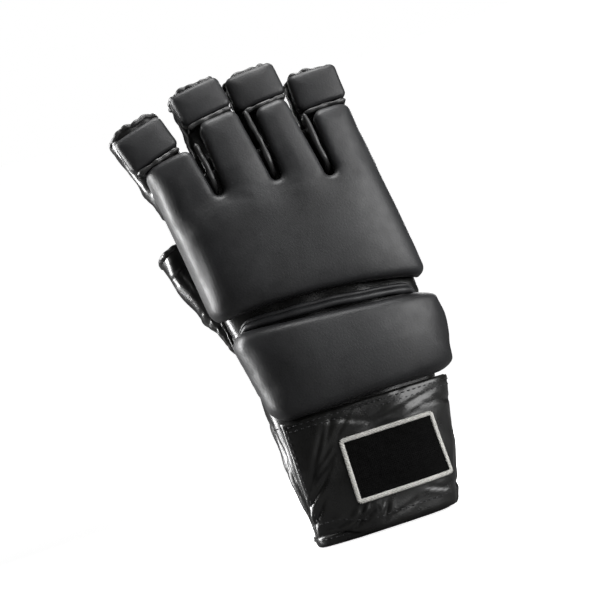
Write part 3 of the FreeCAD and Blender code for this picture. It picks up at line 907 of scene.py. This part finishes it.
def sleeve_grid(name, low, high, offset, rows=44, cols=84):
    """Grid on one finger sleeve, from its web at 0 to its rim at 1, in the hand frame."""
    base_x, base_half = SLEEVE_BASE_X[name], SLEEVE_BASE_HALF[name]
    rim_half = SLEEVE_HALF[name] + SLEEVE_EASE[name]
    place = KNUCKLES[name]
    hinge = place.translation
    fan = math.atan2(place[0][2], place[2][2])
    foot = WEB_Z - 6
    total = hinge.z - foot + SLEEVE_LENGTH[name] - SLEEVE_CUT
    bend = (hinge.z - foot) / total
    turns = np.linspace(0, 1, cols, endpoint=False)
    circle, normals = tube([(0, 1, 1, 0, 0), (1, 1, 1, 0, 0)], [0.0], turns)
    points = np.zeros((rows, cols, 3))
    for row, share in enumerate(np.linspace(low, high, rows)):
        up = smooth(share, 0, bend * 1.05)
        beyond = max(share - bend, 0) * total
        centre_x = base_x + (hinge.x - base_x) * up + math.sin(fan) * beyond
        centre_z = foot + min(share, bend) * total + math.cos(fan) * beyond
        slim = smooth(share, bend * 0.7, 1.0)
        half = base_half + (rim_half - base_half) * slim + offset
        depth = WEB_DEPTH + (SLEEVE_DEPTH - WEB_DEPTH) * up + offset
        tilt = fan * up
        x = circle[0, :, 0] * half
        y = circle[0, :, 1] * depth
        drop = -y * RIM_SKEW / SLEEVE_DEPTH * smooth(share, bend, 1.0)
        points[row, :, 0] = centre_x + x * math.cos(tilt) + drop * math.sin(tilt)
        points[row, :, 1] = 2.6 + 1.4 * up + y
        points[row, :, 2] = centre_z - x * math.sin(tilt) + drop * math.cos(tilt)
    return points, np.repeat(normals, rows, axis=0)


def finger_sleeve(name):
    """Open leather sleeve with folds, its lining and its rough bound rim."""
    seed = 20 + FINGERS.index(name) * 5
    bend = knuckle_bend(name)
    points, normals = sleeve_grid(name, 0.0, 1.0, 0.0)
    z = points[..., 2]
    s = np.broadcast_to((np.linspace(0, 1, z.shape[1], endpoint=False) - 0.25) * 75, z.shape)
    span = (float(z.min()), float(z.max()) - 3)
    folds = folds_from([
        (seed, 12, (-18, 18), span, 0, 16, 17, 0.9, 1.0),
        (seed + 1, 5, (-18, 18), span, 80, 12, 16, 0.6, 1.0),
        (seed + 2, 6, (22, 54), span, 10, 30, 12, 0.7, 1.0),
    ])
    height = 0.28 * waves(points, 11, seed + 3) + crease(s, z, folds)
    calm = smooth(z, z.min() + 2, z.min() + 8)
    grid = raised(points, normals, height * calm)
    mesh = sheet(grid, normals, LEATHER, rim=1, around=True)
    add_piece(f"{name}_sleeve_leather", mesh, HAND, GLOSSY, bend, f"{name}_sleeve")
    cloth, normals = sleeve_grid(name, 0.1, 0.985, -LEATHER - 0.5)
    cloth = raised(cloth, normals, 0.25 * waves(cloth, 5, seed + 4))
    mesh = sheet(cloth, normals, thickness=0.9, rim=1, around=True)
    add_piece(f"{name}_lining_cloth", mesh, HAND, LINING, bend, f"{name}_lining")
    ring, normals = sleeve_grid(name, 0.985, 0.985, -0.5, rows=1, cols=120)
    path = raised(ring, normals, 0.35 * waves(ring, 5, seed + 5))[0]
    path[:, 2] += 0.5 * waves(ring[0], 7, seed + 6)
    radius = 1.3 + 0.10 * waves(ring[0], 4.5, seed + 7)
    rim = sweep(path, radius, sides=10, closed=True)
    add_piece(f"{name}_rim_binding", rim, HAND, RIM_TRIM, name, f"{name}_rim")


# ---- Trim on the back --------------------------------------------------------------------------

def knuckle_lip(name):
    """Leather lip standing between a lobe and its finger pad."""
    index = FINGERS.index(name)
    half = SLEEVE_HALF[name] - 0.6
    x, y = np.meshgrid(np.linspace(-half, half, 44), np.linspace(-1.5, LIP_TOP, 14))
    wave = 0.3 * waves(np.stack([x, y, x * 0], axis=-1), 9, 60 + index)
    y = y + y / LIP_TOP * (1.8 * (np.abs(x) / half) ** 3 + wave)
    middle = np.stack([x, y, -0.5 + 0.5 * wave], axis=-1)
    up = np.array([0, 0, 1.0])
    tip = middle[-1] + np.array([0, -0.4, 0.1])
    lip = sheet(middle + up * 0.8, up, thickness=1.7, rim=2)
    roll = rod(tip, 1.2, ends=4, sides=10, uneven=(0.12, 5, 90 + index))
    add_piece(f"{name}_knuckle_lip", join([lip, roll]), HAND @ KNUCKLES[name], BACK_TRIM, "hand")


def slot_welt(index, slot_x, foot):
    """Folded leather ridge along the middle of one slot."""
    heights = np.linspace(foot + 1.2, min(lobe_tops()[index:index + 2]) + 1.0, 30)
    surface, _ = on_body(HAND_SECTIONS, slot_x, heights, BACK)
    surface_y = surface[:, 1]
    rise = 3.0 + 8.6 * smooth(heights, foot + 1, foot + 9)
    path = np.stack([slot_x + 0.25 * np.sin(heights / 4.1), surface_y - rise, heights], axis=-1)
    path[:, 1] += 0.3 * waves(path, 12, 35)
    low = np.stack([np.full(30, slot_x), surface_y - 0.2, heights], axis=-1)
    side = np.array([1.0, 0, 0])
    wall = np.linspace(low, path, 8) + side * 0.7
    cap = rod(path, 1.3, ends=3, sides=10, uneven=(0.08, 6, 36))
    return join([cap, sheet(wall, side, thickness=1.4, rim=1)])


def slot_welts():
    mesh = join([slot_welt(index, x, foot) for index, (x, foot) in enumerate(SLOTS)])
    add_piece("knuckle_slot_welts", mesh, HAND, BACK_TRIM, "hand", "knuckle_welts", "knuckle_piping")


def crease_piping():
    """Leather roll in the wrist crease, with a second thin fold under it."""
    turns = np.linspace(0.548, 0.952, 110)
    arch = np.sin(np.linspace(0, math.pi, len(turns)))
    slope = math.tan(hinge_tilt("wrist_flex"))
    parts = []
    for lift, drop, radius in ((5.0, -1.5, 1.6), (4.0, 1.0, 1.15)):
        points, normals = tube(CUFF_SECTIONS, [WRIST.z], turns)
        path = raised(points[0], normals[0], lift * np.sqrt(arch) + 1.8 * arch)
        path[:, 2] += drop - (path[:, 0] - WRIST.x) * slope + 0.15 * waves(path, 20, 31) + 1.1 * arch
        path[:, 2] -= 0.75 * np.maximum(path[:, 1] - WRIST.y - 1.0, 0)
        parts.append(rod(path, radius, ends=12, sides=14, uneven=(0.05, 12, 32)))
    add_piece("wrist_crease_piping", join(parts), CUFF, SATIN, "cuff", "wrist_piping")


# ---- Thumb -------------------------------------------------------------------------------------

THUMB_LENGTH = (THUMB_RIM - THUMB_BASE).length
THUMB_TURN = Vector((0, 0, 1)).rotation_difference(THUMB_RIM - THUMB_BASE)
THUMB = Matrix.Translation(THUMB_BASE) @ THUMB_TURN.to_matrix().to_4x4()


def thumb_cutter(offset, low, high):
    """Closed solid of the thumb's way out of the hand."""
    rows, cols = 12, 40
    points, normals = tube(THUMB_SECTIONS, np.linspace(low, high, rows),
                           np.linspace(0, 1, cols, endpoint=False))
    points = (points + normals * offset).reshape(-1, 3)
    return make_object("cutter", (points, capped_faces(rows, cols)), HAND @ THUMB, RIM_TRIM[0])


def thumb_arc(height, offset, count):
    """Row of points round the part of the thumb tube that lies outside the hand."""
    points, normals = tube(THUMB_SECTIONS, [height], np.linspace(0.03, 0.97, 240))
    points = placed(points[0], THUMB)
    normals = normals[0] @ np.array(THUMB)[:3, :3].T
    depth = body_field(*points.T, HAND_SECTIONS, 0.0, 0.0)
    outside = np.flatnonzero(depth > -2.5)
    at = np.linspace(outside[0], outside[-1], count)
    index = np.arange(len(points))
    normals = columns_at(at, index, normals)
    return columns_at(at, index, points) + normals * offset, normals


def thumb_panel():
    """Leather bulge that carries the thumb out of the side of the hand, open at its top."""
    rows, cols = 64, 56
    heights = np.linspace(-1, THUMB_LENGTH - 1.0, rows)
    arcs = [thumb_arc(height, 0.0, cols) for height in heights]
    points = np.stack([arc[0] for arc in arcs])
    normals = np.stack([arc[1] for arc in arcs])
    z, s = np.meshgrid(heights, np.linspace(-24, 24, cols), indexing="ij")
    height = 0.4 * waves(points, 18, 43) + crease(s, z, folds_from(THUMB_FOLDS))
    mesh = sheet(raised(points, normals, height), normals, LEATHER, rim=1)
    add_piece("thumb_leather", mesh, HAND, GLOSSY, WRIST_BEND, "thumb_panel")
    path, normals = thumb_arc(THUMB_LENGTH - 0.6, -0.5, 90)
    path = raised(path, normals, 0.3 * waves(path, 5, 44))
    rim = rod(path, 1.5, ends=3, sides=10, uneven=(0.06, 5, 45))
    add_piece("thumb_rim", rim, HAND, RIM_TRIM, "hand", "thumb_binding")


def thumb_tab():
    """Pointed leather tab beside the thumb hole, with a rolled edge."""
    share = np.linspace(0, 1, 26)
    left, right = (columns_at(share, [0, 0.5, 1], np.array(side)) for side in (TAB_LEFT, TAB_RIGHT))
    across = np.linspace(0, 1, 22)
    x, z = (left[:, k, None] * (1 - across) + right[:, k, None] * across for k in range(2))
    edge = np.minimum(across, 1 - across)[None, :] * 2
    lift = 1.4 + 0.9 * (1 - edge) ** 2 + 0.2 * np.sin(z)
    points, normals = on_body(HAND_SECTIONS, x, z, PALM, lift)
    rolled = np.concatenate([points[:, 0], points[-1], points[::-1, -1]])
    mesh = join([sheet(points, normals, thickness=1.3, rim=1), rod(rolled, 0.85, ends=3, sides=8)])
    add_piece("thumb_tab_leather", mesh, HAND, GLOSSY, "hand", "thumb_tab")


def thenar_arc(inset, low, high, count, lift):
    """Points and normals on a curve round the thumb's base, its upper half drawn out upwards."""
    angle = np.radians(np.linspace(high, low, count))
    reach = np.where(angle > 0, 49.0, 36.0) - inset
    x, z = -43 + (38 - inset) * np.cos(angle), 8 + reach * np.sin(angle)
    return on_body(HAND_SECTIONS, x, z, PALM, lift)


def thenar_welt():
    """Double raised seam that curves round the base of the thumb, with its two rows of thread."""
    parts = []
    for inset in (0.0, 3.4):
        path, _ = thenar_arc(inset, -58, 49, 110, 0.5)
        path[:, 2] += 0.3 * waves(path, 12, 46)
        parts.append(rod(path, 1.15, ends=4, sides=10, uneven=(0.08, 6, 47)))
    add_piece("thenar_seam", join(parts), HAND, GLOSSY, WRIST_BEND, "thenar_welt")
    for number, inset in enumerate((-3.0, 6.2)):
        path, normals = thenar_arc(inset, -52, 45, 130, 0.25)
        add_stitches(f"thenar_stitches_{number}", path, normals, HAND, WRIST_BEND)


# ---- Grip on the palm --------------------------------------------------------------------------

def grip_patch():
    """Leather patch with a corded edge and an inner row of thread."""
    rows, cols = 30, 84
    turns = [turn_at(HAND_SECTIONS, 62, x, PALM) for x in GRIP_X[::-1]]
    points, normals = tube(HAND_SECTIONS, np.linspace(*GRIP_Z, rows), np.linspace(*turns, cols))
    s = np.linspace(-44, 44, cols)[None, :] * np.ones((rows, 1))
    height = 1.7 + 0.35 * waves(points, 14, 52) + crease(s, points[..., 2], folds_from(GRIP_PATCH_FOLDS))
    grid = raised(points, normals, height)
    border = np.concatenate([grid[0], grid[1:, -1], grid[-1, -2::-1], grid[-2:0:-1, 0]])
    hole = (1.8, -20, THUMB_LENGTH + 2)
    mesh = sheet(grid, normals, thickness=1.3, rim=2)
    add_piece("grip_patch_leather", mesh, HAND, GLOSSY, "hand", "grip_patch", cut=hole)
    cord = sweep(even(border, 320), 1.15, sides=8, closed=True)
    add_piece("grip_patch_cord", cord, HAND, GLOSSY, "hand", cut=hole)
    row_x = (GRIP_X[0] + 4.1, GRIP_X[1] - 0.2)
    outline = box_outline(row_x, GRIP_Z, inset=3.4, corner=2.5, count=400)
    path, normals = on_body(HAND_SECTIONS, *outline.T, PALM, 2.0)
    add_stitches("grip_patch_stitches", path, normals, HAND, "hand")


def grip_bar():
    """Padded bar across the patch, pinched at its thumb end."""
    def field(x, y, z):
        outline = rounded_box(x, z, BAR_X, BAR_Z, 3.6)
        pinch = 2.4 * np.exp(-((x - BAR_X[0] - 5.0) / 1.3) ** 2)
        sag = np.exp(np.minimum(outline, 0) / 3)
        face = body_field(x, y, z, HAND_SECTIONS, 1.4, 9.0) + pinch + sag
        back = np.maximum(-y, -body_field(x, y, z, HAND_SECTIONS, 1.2, 1.2))
        return round_join(round_join(face, outline, 3.0), back, 0.5)

    low, high = (BAR_X[0] - 1, 4, BAR_Z[0] - 1), (BAR_X[1] + 1, 33, BAR_Z[1] + 1)
    points, quads = solid(field, low, high, 0.9)
    folds = folds_from(GRIP_BAR_FOLDS)
    height = crease(points[:, 0], points[:, 2], folds) + 0.25 * waves(points, 9, 54)
    points[:, 1] += height * smooth(points[:, 1], 16, 22)
    add_piece("grip_bar", (points, quads), HAND, GLOSSY, "hand", "grip_bar_foam", "grip_bar_cover",
              modifiers=(SOFTEN,))
    outline = box_outline(BAR_X, BAR_Z, inset=-1.2, corner=6.5, count=400)
    path, _ = on_body(HAND_SECTIONS, *outline.T, PALM, 2.1)
    seam = sweep(even(path, 300), 0.75, sides=8, closed=True)
    add_piece("grip_bar_seam", seam, HAND, GLOSSY, "hand")


# ---- Cuff, strap and label ---------------------------------------------------------------------

STRAP_TURNS = (
    turn_at(CUFF_SECTIONS, 30, STRAP_END_X, BACK),
    turn_at(CUFF_SECTIONS, 30, STRAP_ROOT_X, PALM),
)
STRAP_ROWS = (0.10, 0.915, 0.957)
STRAP_END_ROWS = [
    (STRAP_TURNS[0] + 0.011, "strap"),
    (STRAP_TURNS[1] - 0.011, "cuff"),
    (STRAP_TURNS[1] - 0.022, "cuff"),
]
WRIST_ROWS = [(60.6, 0.52, 0.72), (84.5, 0.02, 0.48), (87.0, 0.02, 0.48)]


def hem():
    """Folded band round the mouth of the cuff and its row of thread."""
    turns = np.linspace(0, 1, 260, endpoint=False)
    points, normals = tube(CUFF_SECTIONS, np.linspace(0.2, 5.4, 9), turns)
    grid = raised(points, normals, 1.15 + 0.25 * waves(points, 12, 71))
    mesh = sheet(grid, normals, thickness=1.2, rim=2, around=True)
    add_piece("hem_band", mesh, CUFF, GLOSSY, "cuff", "hem_binding")
    path, normals = tube(CUFF_SECTIONS, [3.6], np.linspace(0, 1, 400))
    add_stitches("hem_stitches", (path + normals * 1.3)[0], normals[0], CUFF, "cuff")


def strap_wave(points):
    """Slow undulation shared by the strap and by what is sewn on it."""
    return 0.30 * waves(points, 30, 61)


def strap_grid(shares, turns):
    """Points and normals under the strap; share 0 is its lower edge and 1 its upper edge.

    The lower edge rises towards the flap's end and shows the hem there.
    """
    levels = np.linspace(*STRAP_Z, 60)
    points, normals = tube(CUFF_SECTIONS, levels, turns)
    foot = STRAP_Z[0] + 5.0 * smooth(-turns, 0.26, 0.38) ** 2
    shares = np.asarray(shares)[:, None]
    heights = foot * (1 - shares) + STRAP_Z[1] * shares
    at_column = range(len(turns))
    grid = np.stack([columns_at(heights[:, k], levels, points[:, k]) for k in at_column], axis=1)
    outward = np.stack([columns_at(heights[:, k], levels, normals[:, k]) for k in at_column], axis=1)
    return grid, unit(outward)


def strap_folds(turns, z):
    """Folds of the strap, left out under the label."""
    s = (turns - 0.25) * girth(CUFF_SECTIONS, z)
    low = turn_at(CUFF_SECTIONS, 30, PATCH_X[0] - 2, BACK)
    high = turn_at(CUFF_SECTIONS, 30, PATCH_X[1] + 2, BACK)
    under = smooth(turns, low - 0.015, low) * (1 - smooth(turns, high, high + 0.015))
    under = under * smooth(z, 12, 15) * (1 - smooth(z, 48, 51))
    return crease(s, z, folds_from(STRAP_FOLDS)) * (1 - under)


def strap():
    """Wide leather strap from the palm round the little-finger side to the back."""
    rows, cols = 54, 170
    turns = np.linspace(*STRAP_TURNS, cols)
    points, normals = strap_grid(np.linspace(0, 1, rows), turns)
    folds = strap_folds(turns[None, :] * np.ones((rows, 1)), points[..., 2])
    grid = raised(points, normals, STRAP_LIFT + strap_wave(points) + folds)
    mesh = sheet(grid, normals, thickness=1.9, rim=2)
    add_piece("strap_leather", mesh, CUFF, GLOSSY, STRAP_BEND, "strap_wrap", "strap_flap")
    edge = np.linspace(STRAP_TURNS[0] + 0.012, STRAP_TURNS[1] - 0.012, 300)
    rows = [([share], edge, f"strap_stitches_{k}", STRAP_BEND) for k, share in enumerate(STRAP_ROWS)]
    side = np.linspace(0.05, 0.95, 40)
    for k, (turn, body) in enumerate(STRAP_END_ROWS):
        rows.append((side, np.array([turn]), f"strap_end_stitches_{k}", body))
    for shares, turns, name, rides in rows:
        points, normals = strap_grid(shares, turns)
        path = raised(points, normals, STRAP_LIFT + strap_wave(points))
        add_stitches(name, path.reshape(-1, 3), normals.reshape(-1, 3), CUFF, rides)


def cuff_window(x_span, z_span, lift, thickness, rows, cols, relief):
    """Sheet lying over the back of the cuff."""
    x, z = np.linspace(*x_span, cols)[None, :], np.linspace(*z_span, rows)[:, None]
    points, normals = on_body(CUFF_SECTIONS, x, z, BACK)
    return sheet(raised(points, normals, lift + relief(points)), normals, thickness, rim=1)


def fasteners():
    """Loop pile on the cuff and hook tape inside the flap."""
    def fuzz(points):
        return 0.12 * waves(points, 2.2, 65)

    tape = {"rows": 48, "cols": 54, "relief": fuzz}
    loop = cuff_window(FASTENER_X, FASTENER_Z, lift=1.5, thickness=1.2, **tape)
    add_piece("loop_pile", loop, CUFF, PILE, "cuff", "loop_fastener")
    hook = cuff_window(FASTENER_X, FASTENER_Z, lift=3.0, thickness=1.1, **tape)
    add_piece("hook_tape", hook, CUFF, PILE, "strap", "hook_fastener")


def label():
    """Blank woven patch inside a border of light embroidery."""
    def lie(points):
        return strap_wave(points) + 0.08 * waves(points, 5, 66)

    patch = cuff_window(PATCH_X, PATCH_Z, PATCH_LIFT, thickness=0.9, rows=44, cols=60, relief=lie)
    add_piece("label_cloth", patch, CUFF, PATCH, "strap", "label_patch")
    outline = even(box_outline(PATCH_X, PATCH_Z, inset=0.9, corner=0.8, count=800), 300)
    points, normals = on_body(CUFF_SECTIONS, *outline.T, BACK)
    lift = PATCH_LIFT + 0.05 + strap_wave(points)
    ahead = unit(np.roll(points, -1, 0) - np.roll(points, 1, 0))
    across = np.cross(ahead, normals)
    spread = np.linspace(-1.2, 1.2, 7)[:, None]
    arch = 0.55 * np.sqrt(1 - (spread / 1.35) ** 2) - 0.1
    parts = [sweep(raised(points, normals, lift), 0.55, sides=6, closed=True)]
    for k in range(len(points)):
        stitch = points[k] + (across[k] + 0.18 * ahead[k]) * spread + normals[k] * (lift[k] + arch)
        parts.append(rod(stitch, 0.36, ends=1.5, sides=5))
    add_piece("label_edging", join(parts), CUFF, BORDER, "strap", "label_border")


def side_seams():
    """Corded seams where the palm leather meets the back, and down the palm side of the cuff."""
    heights = np.linspace(-8, WEB_Z - 1, 120)
    cord_hole = (1.0, THUMB_HOLE[1] - 6, THUMB_HOLE[2] + 4)
    for name, turn, hole in (("thumb_side", 0.5, cord_hole), ("little_side", 0.0, None)):
        points, normals = tube(HAND_SECTIONS, heights, np.array([turn]))
        path = raised(points, normals, 0.2 + 0.25 * waves(points, 10, 73))[:, 0]
        cord = rod(path, 0.95, ends=4, sides=8, uneven=(0.1, 5, 74))
        add_piece(f"{name}_seam", cord, HAND, GLOSSY, WRIST_BEND, cut=hole)
    heights = np.linspace(7, 82, 120)
    points, normals = on_body(CUFF_SECTIONS, 3.0 + 0.02 * heights, heights, PALM, 0.15)
    path = raised(points, normals, 0.2 * waves(points, 9, 75))
    add_piece("cuff_palm_seam", rod(path, 0.9, ends=4, sides=8), CUFF, GLOSSY, WRIST_BEND)


def wrist_stitches():
    """Rows of thread under the wrist pad and round the palm side of the wrist."""
    for number, (z, low, high) in enumerate(WRIST_ROWS):
        path, normals = tube(CUFF_SECTIONS, [z], np.linspace(low, high, 200))
        path = path[0] + normals[0] * 0.3
        add_stitches(f"wrist_stitches_{number}", path, normals[0], CUFF, WRIST_BEND)


# ---- Stage, in metres --------------------------------------------------------------------------

FLOOR_REACH = 1.6
SWEEP_REACH = 0.8
FLOOR_TURNS = 96
AIM = Vector((-0.006, 0, 0.118))
CAMERA_DISTANCE = 0.70
LIGHT_TARGET = Vector((0.0, 0.0, 0.12))
SOFTBOXES = {
    "right_softbox": ((0.72, -0.56, 0.20), (1.0, 0.9), 15),
    "front_softbox": ((0.45, -1.0, 0.75), (0.6, 0.4), 0.8),
    "top_softbox": ((0.10, -0.10, 0.95), (0.5, 0.5), 8),
    "left_rim": ((-0.80, 0.36, 0.30), (0.30, 0.9), 20),
    "palm_softbox": ((0.25, 0.95, 0.55), (0.6, 0.6), 7),
}


def link_object(name, data):
    """Adds an object for a light or a camera to the scene."""
    added = bpy.data.objects.new(name, data)
    bpy.context.scene.collection.objects.link(added)
    return added


def softbox(name, place, size, power):
    """Area light aimed at the glove."""
    light = bpy.data.lights.new(name, "AREA")
    light.shape = "RECTANGLE"
    light.size, light.size_y = size
    light.energy = power
    lamp = link_object(name, light)
    lamp.location = place
    lamp.rotation_euler = (LIGHT_TARGET - Vector(place)).to_track_quat("-Z", "Y").to_euler()


def backdrop():
    """Pale floor that sweeps up all round. Only the camera sees it glow."""
    bend = np.linspace(0, math.pi / 2, 16)
    reach = np.concatenate([[0.001], FLOOR_REACH + SWEEP_REACH * np.sin(bend)]) / MM
    rise = np.concatenate([[0.0], SWEEP_REACH - SWEEP_REACH * np.cos(bend)]) / MM - 0.5
    angle = np.linspace(0, 2 * math.pi, FLOOR_TURNS, endpoint=False)
    points = np.stack([np.outer(reach, np.cos(angle)), np.outer(reach, np.sin(angle)),
                       np.outer(rise, np.ones(FLOOR_TURNS))], axis=-1)
    nodes = Nodes("pale_backdrop")
    seen = nodes.add("ShaderNodeLightPath").outputs["Is Camera Ray"]
    nodes.set("Base Color", nodes.mix(seen, grey(0.10), grey(0.80)))
    nodes.set("Roughness", 0.9)
    nodes.set("Specular IOR Level", 0.0)
    nodes.set("Emission Color", (1, 1, 1, 1))
    nodes.set("Emission Strength", nodes.span(seen, 0, 1, 0.0, 0.86))
    mesh = points.reshape(-1, 3), grid_faces(len(reach), FLOOR_TURNS, 0, True)
    make_object("backdrop", mesh, CUFF, nodes.material)


def pale_world():
    """World that is white to the camera and dim to everything else."""
    world = bpy.data.worlds.new("studio")
    bpy.context.scene.world = world
    world.use_nodes = True
    tree = world.node_tree
    seen = add_node(tree, "ShaderNodeLightPath").outputs["Is Camera Ray"]
    strength = add_node(tree, "ShaderNodeMapRange", {"Value": seen}, **{"To Min": 0.08, "To Max": 1.0})
    sky = tree.nodes["Background"]
    sky.inputs["Color"].default_value = (1, 1, 1, 1)
    tree.links.new(strength.outputs["Result"], sky.inputs["Strength"])


def camera():
    """Long lens a little left of square on to the back of the hand, rolled as the glove leans."""
    data = bpy.data.cameras.new("camera")
    data.lens = 85
    data.sensor_width = 36
    shot = link_object("camera", data)
    azimuth, elevation, roll = math.radians(-6), math.radians(-5.0), math.radians(-17.6)
    back = Vector((math.sin(azimuth) * math.cos(elevation), -math.cos(azimuth) * math.cos(elevation),
                   math.sin(elevation)))
    turn = (-back).to_track_quat("-Z", "Y").to_matrix().to_4x4() @ Matrix.Rotation(roll, 4, "Z")
    shot.matrix_world = Matrix.Translation(AIM + back * CAMERA_DISTANCE) @ turn
    bpy.context.scene.camera = shot
    bpy.context.scene.view_settings.view_transform = "Standard"


# ---- The whole glove ---------------------------------------------------------------------------

hand_pad()
wrist_pad()
crease_piping()
slot_welts()
cuff_leather()
hand_leather()
linings()
for finger in FINGERS:
    finger_pad(finger)
    finger_sleeve(finger)
    knuckle_lip(finger)
thumb_panel()
thumb_tab()
thenar_welt()
grip_patch()
grip_bar()
hem()
strap()
fasteners()
label()
side_seams()
wrist_stitches()
backdrop()
pale_world()
for light_name, (light_place, light_size, light_power) in SOFTBOXES.items():
    softbox(light_name, light_place, light_size, light_power)
camera()
